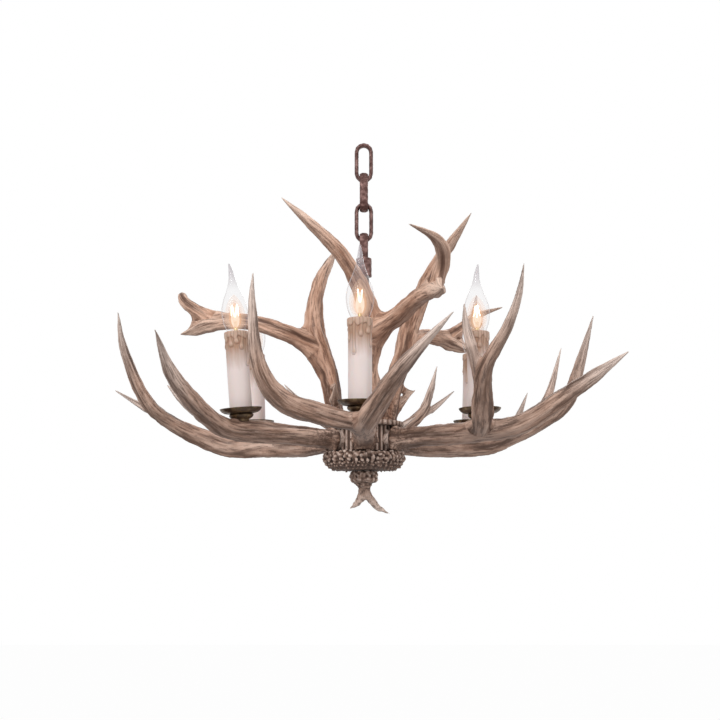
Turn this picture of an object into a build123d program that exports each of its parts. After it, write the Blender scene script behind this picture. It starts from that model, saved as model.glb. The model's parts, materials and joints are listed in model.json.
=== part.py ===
from build123d import *
import math
import os

# Antler chandelier, six candle lamps, hung on a short chain.
# Origin: the hang point, inside the top of the upper chain link.
# +Z is up, +X is to the right and +Y is away from the viewer. All sizes are millimetres.

# ---------------------------------------------------------------- chain
link_breadth = 10.8          # flat width of the wire, seen from its edge
link_thickness = 5.2         # wire thickness, seen on the face of a link
link_play = 1.4              # side play between a wire's edge and the link that it hangs in
link_straight = 29.0         # straight run of a link
corner_relief = 1.1          # the wire's corners meet the curved link before its edges do
link_count = 3
arc_step = 30.0              # turn between two hammered flats of a link
seat_gap = 0.3               # running gap between links, and round every seated piece

# ---------------------------------------------------------------- stem and hanging loop
loop_straight = 13.0
loop_boss_radius = 10.0
loop_boss_height = 24.0
stem_radius = 6.5
stem_bore = 4.5
stem_into_boss = 11.0
stem_into_finial = 9.0
bush_radius = 4.0
bush_bore = 2.2
bush_length = 6.0
nut_across = 20.0
nut_height = 6.0
washer_radius = 12.0
washer_thickness = 1.0

# ---------------------------------------------------------------- hub
drop = 421.0                 # hang point down to the underside of the burr ring
ring_radius = 53.0
ring_height = 24.0
ring_floor = 4.0
ring_bore_radius = 30.0
ring_knobs = 30
hub_radius = 38.5
hub_height = 31.0
hub_spigot = 11.0
flute_count = 36
flute_depth = 2.0
arm_boss_radius = 13.5
arm_boss_root = 6.0          # how deep a boss is rooted in the fluted body
arm_start = 41.0            # radius at which the arm antlers meet the hub
arm_axis_height = 38.0
stud_radius = 4.0
stud_length = 30.0
plate_radius = 50.0
plate_thickness = 6.0
screw_radius = 2.2
screw_head_radius = 4.4
screw_head_height = 3.0
screw_length = 20.0
upper_foot_radius = 37.0     # radius at which the upper antlers stand

# ---------------------------------------------------------------- finial
finial_knob_radius = 19.0
finial_knob_height = 15.0
finial_knobs = 12
finial_knob_depth = 0.9
finial_neck_radius = 8.0

# ---------------------------------------------------------------- candles
candle_circle = 166.0        # radius of the circle of candles
candle_seat = 54.0           # height of the seat on an arm, above the ring's underside
cup_foot_radius = 9.0
cup_radius = 14.5
cup_height = 9.5
pan_radius = 25.0
pan_floor_radius = 16.0
pan_height = 6.5
pan_wall = 1.2
sleeve_radius = 13.4
sleeve_wall = 1.4
sleeve_length = 96.0
rim_radius = 14.4
rim_height = 5.0
nipple_radius = 5.0
nipple_below = 11.0          # how far the nipple goes into the antler
nipple_above = 12.0          # and how far it stands above the pan's floor
holder_radius = 11.4
holder_below_rim = 4.0       # lampholder top, below the sleeve's top
socket_depth = 26.0
cap_radius = 7.0
cap_length = 24.0
contact_radius = 2.4
contact_height = 1.5
glass_wall = 0.8
glass_sides = 12
post_height = 17.0           # glass post inside the bulb, above the cap
post_foot_radius = 3.0
post_top_radius = 1.5
filament_radius = 0.5
filament_length = 30.0
filament_sides = 6
filament_root = 3.0          # how deep a filament leg is held in the post
filament_spread = 0.8
filament_lean = 5.0

# ---------------------------------------------------------------- antlers
antler_sides = 10
base_bumps = 9
burr_thickness = 7.0
burr_growth = 1.32           # burr radius over the beam's radius

# Azimuth of each arm, in degrees.
ARMS = {
    "front": 270,
    "front_right": 330,
    "back_right": 30,
    "back": 90,
    "back_left": 150,
    "front_left": 210,
}

# Each candle stands by eye: its shift outward and sideways from the candle circle, and its
# lean outward in degrees.
CANDLES = {
    "front": (0, -5, 2.0),
    "front_right": (-6, -5, -1.0),
    "back_right": (0, 0, 2.5),
    "back": (0, 0, 2.5),
    "back_left": (0, 0, 2.5),
    "front_left": (0, 0, 5.0),
}

# Branches of each arm antler. A point is its distance from the axis, its sideways offset
# (anticlockwise seen from above), its height over the ring's underside and the radius there.
ARM_BRANCHES = {
    "front": [
        [(41, 0, 38, 13), (90, 0, 41, 12.5), (150, -1, 43, 13.5), (200, 4, 49, 12.5),
         (240, 24, 76, 10.5), (275, 45, 100, 7.5), (312, 86, 140, 1)],
        [(163, 2, 43, 10), (195, -45, 50, 11.5), (212, -88, 66, 11.5), (228, -111, 100, 8.5),
         (240, -117, 160, 4.5), (248, -116, 194, 1)],
    ],
    "front_right": [
        [(41, 0, 38, 13), (90, 0, 41, 12.5), (150, -1, 43, 13.5), (205, 3, 50, 12),
         (250, 22, 80, 10.5), (285, 45, 108, 7.5), (320, 62, 134, 1)],
        [(155, 2, 43, 10), (172, -28, 54, 12.5), (186, -58, 76, 12.5), (205, -90, 106, 9),
         (235, -106, 140, 6.5), (253, -113, 175, 4), (262, -118, 208, 1)],
        [(188, -64, 82, 9), (191, -95, 122, 7), (185, -98, 150, 4.5), (182, -95, 177, 1)],
    ],
    "back_right": [
        [(41, 0, 38, 13), (90, 0, 34, 13.5), (150, 0, 38, 15.5), (195, 0, 41, 13.5),
         (238, -2, 55, 12), (265, -20, 71, 11), (280, -60, 97, 9.5), (280, -90, 150, 6.5),
         (277, -120, 204, 1)],
        [(255, -10, 64, 8), (292, -8, 110, 6), (317, -10, 181, 1)],
        [(228, 0, 52, 7), (268, 30, 82, 5), (300, 46, 122, 1)],
    ],
    "back": [
        [(41, 0, 38, 13), (90, 0, 40, 12), (150, 0, 42, 12.5), (200, 5, 50, 12),
         (240, 40, 75, 10), (270, 85, 105, 7), (290, 122, 147, 1)],
        [(163, 2, 42, 10), (195, -45, 62, 11), (225, -85, 95, 9), (240, -100, 130, 5.5),
         (250, -111, 169, 1)],
        [(212, -68, 80, 7), (245, -105, 105, 5), (260, -138, 133, 1)],
        [(178, -18, 50, 6), (185, -50, 70, 4.5), (190, -76, 87, 1)],
    ],
    "back_left": [
        [(41, 0, 38, 13), (90, 0, 33, 13.5), (150, 0, 37, 16), (200, 8, 36, 13.5),
         (235, 30, 50, 12.5), (262, 60, 69, 11), (275, 95, 96, 9), (283, 130, 158, 5.5),
         (278, 150, 204, 1)],
        [(252, 48, 62, 8), (290, 72, 85, 5.5), (331, 94, 112, 1)],
    ],
    "front_left": [
        [(41, 0, 38, 13), (90, 0, 41, 12), (150, 0, 43, 13), (190, 5, 46, 12.5), (222, 20, 60, 12),
         (250, 38, 78, 10), (275, 55, 99, 8), (302, 80, 139, 1)],
        [(205, 10, 54, 9), (228, -15, 72, 6), (247, -33, 96, 1)],
    ],
}

# The three upper antlers are one casting, turned about the axis, each with its own brow tine.
UPPER = {
    "upper_left": (160, (26, 32, 108)),
    "upper_front": (280, (28, 34, 104)),
    "upper_right": (40, (84, -5, 108)),
}
UPPER_BRANCHES = [
    [(37, 0, 61, 12), (47, -4, 115, 12.5), (60, -8, 155, 13), (70, -6, 185, 13),
     (76, -22, 225, 10.5), (78, -45, 260, 9), (80, -80, 292, 6.5), (80, -115, 322, 1)],
    [(60, -8, 158, 11), (101, 22, 178, 11.5), (146, 38, 192, 10), (195, 45, 190, 10),
     (220, 43, 184, 6.5), (242, 40, 181, 1)],
    [(188, 45, 191, 8), (228, 45, 218, 8), (245, 32, 234, 5.5), (262, 0, 243, 1)],
]
brow_radius = 6.5
brow_foot = (41, 1, 84)
brow_sag = 2.0

os.makedirs("parts", exist_ok=True)


def save(name, *pieces):
    """Write one node: a single solid, or a group of like solids."""
    solids = [solid for piece in pieces for solid in piece.solids()]
    export_step(Compound(label=name, children=solids), "parts/" + name + ".step")


def bored(radius, low, high):
    """A cylinder between two heights on the Z axis, to add or to cut away."""
    return Pos(0, 0, low) * Cylinder(radius, high - low, align=(Align.CENTER, Align.CENTER, Align.MIN))


def turned(points):
    """A solid of revolution about Z from straight-sided (radius, height) profile points."""
    profile = Plane.XZ * make_face(Polyline(*points, close=True))
    return revolve(profile, Axis.Z)


# ---------------------------------------------------------------- chain pieces
def wire_section(plane):
    """The flattened, eight-sided wire section. The plane's X axis is the flat width."""
    half, thick = link_breadth / 2, link_thickness / 2
    corners = [(half * math.cos(a), thick * math.sin(a))
               for a in (math.radians(22.5 + 45 * k) for k in range(8))]
    grow = 1 / math.cos(math.radians(22.5))
    return plane * make_face(Polyline(*[(x * grow, y * grow) for x, y in corners], close=True))


def oval_link(straight):
    """A link in the XZ plane whose upper inner arc is centred on the origin."""
    middle = link_breadth / 2 + link_play + link_thickness / 2
    steps = round(90 / arc_step)
    stops = [(90 - arc_step * k, 0.0) for k in range(steps + 1)]
    stops += [(-arc_step * k, -straight) for k in range(steps + 1)]
    sections = []
    for degrees, height in stops:
        a = math.radians(degrees)
        outward = Vector(math.cos(a), 0, math.sin(a))
        along = Vector(math.sin(a), 0, -math.cos(a))
        place = Plane(outward * middle + Vector(0, 0, height), x_dir=(0, 1, 0), z_dir=along)
        sections.append(wire_section(place))
    half = loft(sections, ruled=True)
    return half + mirror(half, Plane.YZ)


inner_arc = link_breadth / 2 + link_play
clear_arc = inner_arc * math.cos(math.radians(arc_step / 2)) - seat_gap
wire_half = link_breadth / 2
wire_thick = link_thickness / 2
# How far a wire's centre lies beyond the centre of the arc that it hangs in, its two edges seated.
seat_rise = math.sqrt((clear_arc ** 2 - wire_half ** 2) * (wire_half ** 2 - wire_thick ** 2)) / wire_half
seat_pitch = inner_arc + wire_thick + seat_rise - corner_relief

arc_centre = -inner_arc
link_names = ["chain_link_top", "chain_link_middle", "chain_link_lower"]
for index in range(link_count):
    quarter = 90 * (index % 2)
    save(link_names[index], Pos(0, 0, arc_centre) * Rot(0, 0, quarter) * oval_link(link_straight))
    arc_centre -= link_straight + seat_pitch
loop_centre = arc_centre
pivots = [-inner_arc - (link_straight + seat_pitch) * k for k in range(link_count + 1)]
print("link pivots", [round(height, 2) for height in pivots])

# ---------------------------------------------------------------- loop, stem and hub
ring_base = -drop
at_hub = Pos(0, 0, ring_base)
boss_top = loop_centre - loop_straight - inner_arc - link_thickness / 2
boss_base = boss_top - loop_boss_height
stem_top = boss_base + stem_into_boss
bush_height = stem_top + bush_radius + 1
chamber_top = bush_height + bush_radius + 1

loop = Pos(0, 0, loop_centre) * Rot(0, 0, 90) * oval_link(loop_straight)
loop += bored(loop_boss_radius, boss_base, boss_top)
loop -= bored(stem_radius + seat_gap / 2, boss_base, stem_top)
loop -= bored(stem_bore, stem_top, chamber_top)
toward_back = Pos(0, 0, bush_height) * Rot(-90, 0, 0)
loop -= toward_back * bored(bush_radius + seat_gap / 2, 0, loop_boss_radius + 1)
save("hanging_loop", loop)

bush = bored(bush_radius, loop_boss_radius - bush_length + 1, loop_boss_radius + 1)
bush -= bored(bush_bore, 0, loop_boss_radius + 2)
save("cord_bush", toward_back * bush)

stem = bored(stem_radius, ring_base - stem_into_finial, stem_top)
stem -= bored(stem_bore, ring_base - stem_into_finial, stem_top)
save("stem_pipe", stem)

stem_hole = stem_radius + seat_gap / 2
hub_top = ring_height + hub_height
plate_top = hub_top + plate_thickness


def stem_nut(height):
    """A hexagon nut on the stem, its lower face at the given height."""
    blank = extrude(RegularPolygon(nut_across / 2, 6, major_radius=False), nut_height)
    return Pos(0, 0, height) * blank - bored(stem_hole, height - 1, height + nut_height + 1)


def washer(height):
    """A plain washer on the stem, its lower face at the given height."""
    ring = bored(washer_radius, height, height + washer_thickness)
    return ring - bored(stem_hole, height - 1, height + 2)


spigot_base = ring_height - hub_spigot
save(
    "stem_nuts_and_washers",
    at_hub * stem_nut(spigot_base - washer_thickness - nut_height),
    at_hub * washer(spigot_base - washer_thickness),
    at_hub * washer(plate_top),
    at_hub * stem_nut(plate_top + washer_thickness),
)


def knobbed(radius, knobs, depth, height, turn=0.0):
    """A wavy outline of rounded knobs, as a face at a height on the Z axis."""
    points = []
    for k in range(2 * knobs):
        r = radius + (depth if k % 2 else -depth)
        a = math.radians(turn + 180 / knobs * k)
        points.append((r * math.cos(a), r * math.sin(a)))
    return Pos(0, 0, height) * make_face(Polyline(*points, close=True))


# Bowl below, knobbed rim above: share of the height, share of the radius, depth of the knobs.
ring_rows = [(0, 0.74, 0.6), (0.25, 0.88, 1.0), (0.55, 0.95, 1.4), (0.8, 0.98, 1.8), (1, 0.9, 1.4)]
ring = loft(
    [knobbed(ring_radius * share, ring_knobs, depth, ring_height * level)
     for level, share, depth in ring_rows],
    ruled=True,
)
ring -= bored(ring_bore_radius, ring_floor, ring_height + 1)
ring -= bored(stem_hole, -1, ring_floor + 1)
save("burr_ring", at_hub * ring)

hub = extrude(knobbed(hub_radius - flute_depth / 2, flute_count, flute_depth / 2, ring_height), hub_height)
hub += bored(ring_bore_radius - seat_gap, spigot_base, ring_height)
hub -= bored(stem_hole, 0, hub_top + 1)


def arm_frame(azimuth):
    """The frame of an arm: X outward from the axis, at the height of the ring's underside."""
    return Rot(0, 0, azimuth)


def outward(radius, start, end):
    """A cylinder that points out along X at the height where the arms meet the hub."""
    return Pos(0, 0, arm_axis_height) * Rot(0, 90, 0) * bored(radius, start, end)


stud_start = arm_start - stud_length / 2
stud_end = arm_start + stud_length / 2
for azimuth in ARMS.values():
    hub += arm_frame(azimuth) * outward(arm_boss_radius, hub_radius - arm_boss_root, arm_start)
for azimuth in ARMS.values():
    hub -= arm_frame(azimuth) * outward(stud_radius + seat_gap / 2, stud_start, arm_start + 1)
save("hub_body", at_hub * hub)
save("arm_studs", *[at_hub * arm_frame(azimuth) * outward(stud_radius, stud_start, stud_end)
                    for azimuth in ARMS.values()])


def screw_shape(growth):
    """A countersunk screw that points up through the plate, or with growth its hole."""
    tip = hub_top + screw_length + growth
    shank = screw_radius + growth
    head = screw_head_radius + growth
    profile = [(0, hub_top), (head, hub_top), (shank, hub_top + screw_head_height), (shank, tip), (0, tip)]
    return Pos(upper_foot_radius, 0, 0) * turned(profile)


plate = bored(plate_radius, hub_top, plate_top) - bored(stem_hole, hub_top - 1, plate_top + 1)
for azimuth, brow_tip in UPPER.values():
    plate -= Rot(0, 0, azimuth) * screw_shape(seat_gap / 2)
save("upper_antler_plate", at_hub * plate)
save("antler_screws", *[at_hub * Rot(0, 0, azimuth) * screw_shape(0) for azimuth, tip in UPPER.values()])


# ---------------------------------------------------------------- antlers
def branch(points, sides=antler_sides):
    """A tapered branch: many-sided sections set square to a smooth line through the points."""
    places = [Vector(r, side, up) for r, side, up, thick in points]
    line = Spline(*places)
    sections = []
    for index, place in enumerate(places):
        u = line.param_at_point(place) if 0 < index < len(places) - 1 else min(index, 1)
        frame = Plane(line.location_at(u, frame_method=FrameMethod.CORRECTED))
        sections.append(frame * RegularPolygon(points[index][3], sides).face())
    return loft(sections, ruled=True)


def burr(radius):
    """The knobbed collar at the foot of an antler, pointing up from the origin."""
    wide = radius * burr_growth
    rows = [(radius, 0.4, 0), (wide, 1.2, 0.3), (wide, 1.0, 0.7), (radius, 0.4, 1)]
    faces = [knobbed(r, base_bumps, depth, burr_thickness * level) for r, depth, level in rows]
    return loft(faces, ruled=True)


def candle_frame(name):
    """The frame of an arm's candle: Z up its leaning axis from the seat on the arm."""
    outward_shift, side_shift, lean = CANDLES[name]
    return Pos(candle_circle + outward_shift, side_shift, candle_seat) * Rot(0, lean, 0)


for name, azimuth in ARMS.items():
    antler = branch(ARM_BRANCHES[name][0])
    for points in ARM_BRANCHES[name][1:]:
        antler += branch(points)
    foot_radius = ARM_BRANCHES[name][0][0][3]
    antler += Pos(arm_start, 0, arm_axis_height) * Rot(0, 90, 0) * burr(foot_radius)
    antler -= Pos(arm_start, 0, 0) * Box(20, 80, 120, align=(Align.MAX, Align.CENTER, Align.CENTER))
    antler -= outward(stud_radius + seat_gap / 2, arm_start - 1, stud_end + seat_gap)
    antler -= bored(ring_radius + 2, 0, ring_height + seat_gap)
    antler -= bored(plate_radius + 1, hub_top - seat_gap, plate_top)
    candle = candle_frame(name)
    antler -= candle * bored(cup_foot_radius + seat_gap, 0, cup_height)
    antler -= candle * bored(cup_radius + seat_gap, cup_height * 0.25, cup_height)
    antler -= candle * bored(pan_radius, cup_height - seat_gap, cup_height + pan_height)
    antler -= candle * bored(nipple_radius + seat_gap / 2, -nipple_below - seat_gap, 1)
    save("arm_antler_" + name, at_hub * arm_frame(azimuth) * antler)

for name, (azimuth, brow_tip) in UPPER.items():
    antler = branch(UPPER_BRANCHES[0])
    for points in UPPER_BRANCHES[1:]:
        antler += branch(points)
    x, y, z = [(a + b) / 2 for a, b in zip(brow_foot, brow_tip)]
    antler += branch([(*brow_foot, brow_radius), (x, y, z - brow_sag, brow_radius * 0.7), (*brow_tip, 1)])
    antler += Pos(upper_foot_radius, 0, plate_top) * burr(UPPER_BRANCHES[0][0][3])
    antler -= bored(plate_radius * 2, 0, plate_top)
    antler -= screw_shape(seat_gap / 2)
    save("antler_" + name, at_hub * Rot(0, 0, azimuth) * antler)

# ---------------------------------------------------------------- finial
# The knob, from its foot up: share of its height below the ring, share of its radius.
knob_rows = [(1, 0.78), (0.75, 0.97), (0.5, 0.92), (0.25, 0.98), (0, 0.86)]
knob_faces = [
    knobbed(finial_knob_radius * share, finial_knobs, finial_knob_depth, -finial_knob_height * level)
    for level, share in knob_rows
]
finial = loft(knob_faces, ruled=True)
# The two tips, their points measured from the knob's foot: sideways, depth, height, radius.
finial_tips = [
    [(0, 0, 2, finial_neck_radius * 1.6), (0, 0, -8, finial_neck_radius),
     (-3, 0, -17, finial_neck_radius * 0.85), (-10, 0, -26, 4.6), (-19, 0, -32, 1)],
    [(0, 0, -6, finial_neck_radius * 0.9), (6, 0, -17, finial_neck_radius * 0.75),
     (17, 0, -30, 5), (33, 0, -38, 1)],
]
for points in finial_tips:
    finial += Pos(0, 0, -finial_knob_height) * branch(points)
finial -= bored(stem_hole, -stem_into_finial - seat_gap, 1)
save("finial", at_hub * finial)

# ---------------------------------------------------------------- candles
pan_base = cup_height
sleeve_base = pan_base + pan_wall
sleeve_top = sleeve_base + sleeve_length
holder_top = sleeve_top - holder_below_rim
hole = nipple_radius + seat_gap / 2
socket_radius = cap_radius + seat_gap

cup = turned([(hole, 0), (cup_foot_radius, 0), (cup_foot_radius, cup_height * 0.3),
              (cup_radius * 0.93, cup_height * 0.55), (cup_radius, cup_height * 0.8),
              (cup_radius * 0.9, cup_height), (hole, cup_height)])
pan_rim = pan_base + pan_height
flare_radius = pan_radius * 0.92
flare_height = pan_base + pan_height * 0.45
pan = turned([(hole, pan_base), (pan_floor_radius, pan_base), (flare_radius, flare_height),
              (pan_radius, pan_rim), (pan_radius - pan_wall, pan_rim),
              (flare_radius - pan_wall, flare_height + pan_wall),
              (pan_floor_radius, sleeve_base), (hole, sleeve_base)])
bore = sleeve_radius - sleeve_wall
sleeve = turned([(bore, sleeve_base), (sleeve_radius, sleeve_base),
                 (sleeve_radius, sleeve_top - rim_height - 1), (rim_radius, sleeve_top - rim_height),
                 (rim_radius, sleeve_top - 1), (rim_radius - 1, sleeve_top), (bore, sleeve_top)])
nipple_top = sleeve_base + nipple_above
nipple = bored(nipple_radius, -nipple_below, nipple_top)
socket_floor = holder_top - socket_depth
holder = turned([(hole, sleeve_base), (holder_radius, sleeve_base), (holder_radius, holder_top),
                 (socket_radius, holder_top), (socket_radius, socket_floor), (0, socket_floor),
                 (0, nipple_top + 1), (hole, nipple_top + 1)])

cap_top = holder_top
cap_base = cap_top - cap_length
post_top = cap_top + post_height
cap = turned([(0, cap_base - contact_height), (contact_radius, cap_base - contact_height),
              (cap_radius, cap_base + 3), (cap_radius, cap_top), (post_foot_radius, cap_top),
              (post_top_radius, post_top), (0, post_top)])
for side in (-1, 1):
    leg = extrude(RegularPolygon(filament_radius, filament_sides), filament_length)
    cap += Pos(side * filament_spread, 0, post_top - filament_root) * Rot(0, side * filament_lean, 0) * leg

# The flame-tip glass: (height over the cap, radius, bend), drawn to a slightly bent tip.
glass_rows = [(0.3, 7.2, 0), (6, 10.8, 0), (15, 14.2, 0), (28, 15.8, 0), (41, 13.4, 0), (53, 8.6, 0.2),
              (65, 4.6, 0.8), (76, 2.8, 1.8), (86, 1.0, 3.6)]
inner_rows = glass_rows[:7]


def glass_skin(rows, inset):
    """A many-sided skin of the glass, drawn in by the inset."""
    faces = [Pos(bend, 0, cap_top + up) * RegularPolygon(thick - inset, glass_sides).face()
             for up, thick, bend in rows]
    return loft(faces, ruled=True)


glass = glass_skin(glass_rows, 0) - glass_skin(inner_rows, glass_wall)

for name, azimuth in ARMS.items():
    place = at_hub * arm_frame(azimuth) * candle_frame(name)
    save("candle_cup_" + name, place * cup)
    save("drip_pan_" + name, place * pan)
    save("candle_sleeve_" + name, place * sleeve)
    save("lampholder_" + name, place * holder)
    save("bulb_cap_" + name, place * cap)
    save("bulb_glass_" + name, place * glass)
save("candle_nipples", *[at_hub * arm_frame(azimuth) * candle_frame(name) * nipple
                         for name, azimuth in ARMS.items()])
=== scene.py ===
"""Antler chandelier: the finish of every piece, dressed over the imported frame.

Sizes are metres unless a name ends in _mm. The origin is the hang point, inside the
top of the upper chain link; +Z is up and +Y points away from the viewer.
"""
import json
import logging
import math
from dataclasses import dataclass, field
from enum import Enum, StrEnum

import bpy
import numpy as np
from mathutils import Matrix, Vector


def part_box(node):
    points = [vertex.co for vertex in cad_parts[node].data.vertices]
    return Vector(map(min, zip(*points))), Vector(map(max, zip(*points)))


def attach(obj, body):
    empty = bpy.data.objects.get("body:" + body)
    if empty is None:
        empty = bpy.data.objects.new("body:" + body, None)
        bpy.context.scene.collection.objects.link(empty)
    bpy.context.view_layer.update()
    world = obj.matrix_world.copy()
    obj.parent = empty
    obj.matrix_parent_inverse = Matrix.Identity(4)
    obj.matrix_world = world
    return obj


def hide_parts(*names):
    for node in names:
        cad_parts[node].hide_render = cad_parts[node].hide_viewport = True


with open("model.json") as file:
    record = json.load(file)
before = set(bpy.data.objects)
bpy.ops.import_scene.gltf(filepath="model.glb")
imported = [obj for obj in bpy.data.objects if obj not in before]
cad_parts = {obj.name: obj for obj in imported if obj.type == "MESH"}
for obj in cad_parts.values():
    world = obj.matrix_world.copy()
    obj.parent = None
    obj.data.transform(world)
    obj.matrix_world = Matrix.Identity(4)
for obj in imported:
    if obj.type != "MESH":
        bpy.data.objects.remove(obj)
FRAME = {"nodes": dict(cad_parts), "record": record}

LOG = logging.getLogger("chandelier")
MM = 0.001
RING_FOOT = -0.421  # height of the burr ring's underside
PLATE_TOP = 0.061  # the plate's upper face over the ring's underside
LIMB_STEP_MM = 3.0  # rough spacing of the points along an antler's limb
THINNEST_TIP = 0.0009

Point = tuple[float, float, float]
BranchPoint = tuple[float, float, float, float]
Colour = tuple[float, float, float]
Outline = list[tuple[float, float]]
Socket = bpy.types.NodeSocket
Tree = bpy.types.NodeTree
Value = Socket | Colour | float


class Body(StrEnum):
    """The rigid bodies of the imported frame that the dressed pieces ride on."""

    TOP_LINK = "top_link"
    MIDDLE_LINK = "middle_link"
    LOWER_LINK = "lower_link"
    FIXTURE = "fixture"
    BULB_FRONT = "bulb_front"
    BULB_FRONT_RIGHT = "bulb_front_right"
    BULB_BACK_RIGHT = "bulb_back_right"
    BULB_BACK = "bulb_back"
    BULB_BACK_LEFT = "bulb_back_left"
    BULB_FRONT_LEFT = "bulb_front_left"


class Slot(StrEnum):
    """The record's material slots."""

    IRON = "rusted_iron"
    ANTLER = "antler_resin"
    PLATE = "dark_plate"
    BRONZE = "aged_bronze"
    WAX = "candle_ivory"
    GLASS = "bulb_glass"
    BRASS = "cap_brass"
    STEEL = "zinc_steel"
    HOLDER = "lampholder_plastic"
    RUBBER = "bush_rubber"


class Arm(Enum):
    """The six arms, each with its direction in degrees."""

    FRONT = 270
    FRONT_RIGHT = 330
    BACK_RIGHT = 30
    BACK = 90
    BACK_LEFT = 150
    FRONT_LEFT = 210

    @property
    def word(self) -> str:
        """The arm's name as the record's nodes spell it."""
        return self.name.lower()


# ------------------------------------------------------------------ node helpers
def feed(tree: Tree, target: Socket, value: Value) -> None:
    """Give an input socket what it reads.

    Args:
        tree: The node tree.
        target: The input socket.
        value: A socket to link, a colour or a number.
    """
    if isinstance(value, Socket):
        tree.links.new(value, target)
    elif isinstance(value, tuple):
        target.default_value = (*value, 1.0)
    else:
        target.default_value = value


def calculated(tree: Tree, operation: str, *values: Socket | float) -> Socket:
    """Add a Math node.

    Args:
        tree: The node tree.
        operation: What the node does.
        values: Its inputs in order, each a socket or a number.

    Returns:
        The node's value socket.
    """
    made = tree.nodes.new("ShaderNodeMath")
    made.operation = operation
    for target, value in zip(made.inputs, values):
        feed(tree, target, value)
    return made.outputs[0]


def geometry_tree(name: str, sizes: dict[str, float]) -> Tree:
    """Start a Geometry Nodes tree that takes a geometry, some sizes and a material.

    Args:
        name: The tree's name.
        sizes: The named number inputs, with what each holds where it isn't set.

    Returns:
        The tree, without nodes yet.
    """
    tree = bpy.data.node_groups.new(name, "GeometryNodeTree")
    face = tree.interface
    face.new_socket("Geometry", in_out="INPUT", socket_type="NodeSocketGeometry")
    for label, value in sizes.items():
        socket = face.new_socket(label, in_out="INPUT", socket_type="NodeSocketFloat")
        socket.default_value = value
    face.new_socket("Material", in_out="INPUT", socket_type="NodeSocketMaterial")
    face.new_socket("Geometry", in_out="OUTPUT", socket_type="NodeSocketGeometry")
    return tree


def stored(tree: Tree, name: str, kind: str) -> Socket:
    """Read a vertex attribute in a Geometry Nodes tree.

    Args:
        tree: The node tree.
        name: The attribute's name.
        kind: FLOAT or FLOAT_VECTOR.

    Returns:
        The socket that carries it.
    """
    made = tree.nodes.new("GeometryNodeInputNamedAttribute")
    made.data_type = kind
    made.inputs[0].default_value = name
    carried = "VECTOR" if kind == "FLOAT_VECTOR" else "VALUE"
    return next(socket for socket in made.outputs if socket.type == carried)


def end_tree(tree: Tree, source: bpy.types.Node, shape: Socket) -> None:
    """End a Geometry Nodes tree: realize what it holds and set its material.

    Args:
        tree: The node tree.
        source: Its Group Input node.
        shape: The geometry so far.
    """
    real, paint = tree.nodes.new("GeometryNodeRealizeInstances"), tree.nodes.new("GeometryNodeSetMaterial")
    sink = tree.nodes.new("NodeGroupOutput")
    tree.links.new(shape, real.inputs[0])
    tree.links.new(real.outputs[0], paint.inputs["Geometry"])
    tree.links.new(source.outputs["Material"], paint.inputs["Material"])
    tree.links.new(paint.outputs[0], sink.inputs[0])


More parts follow.
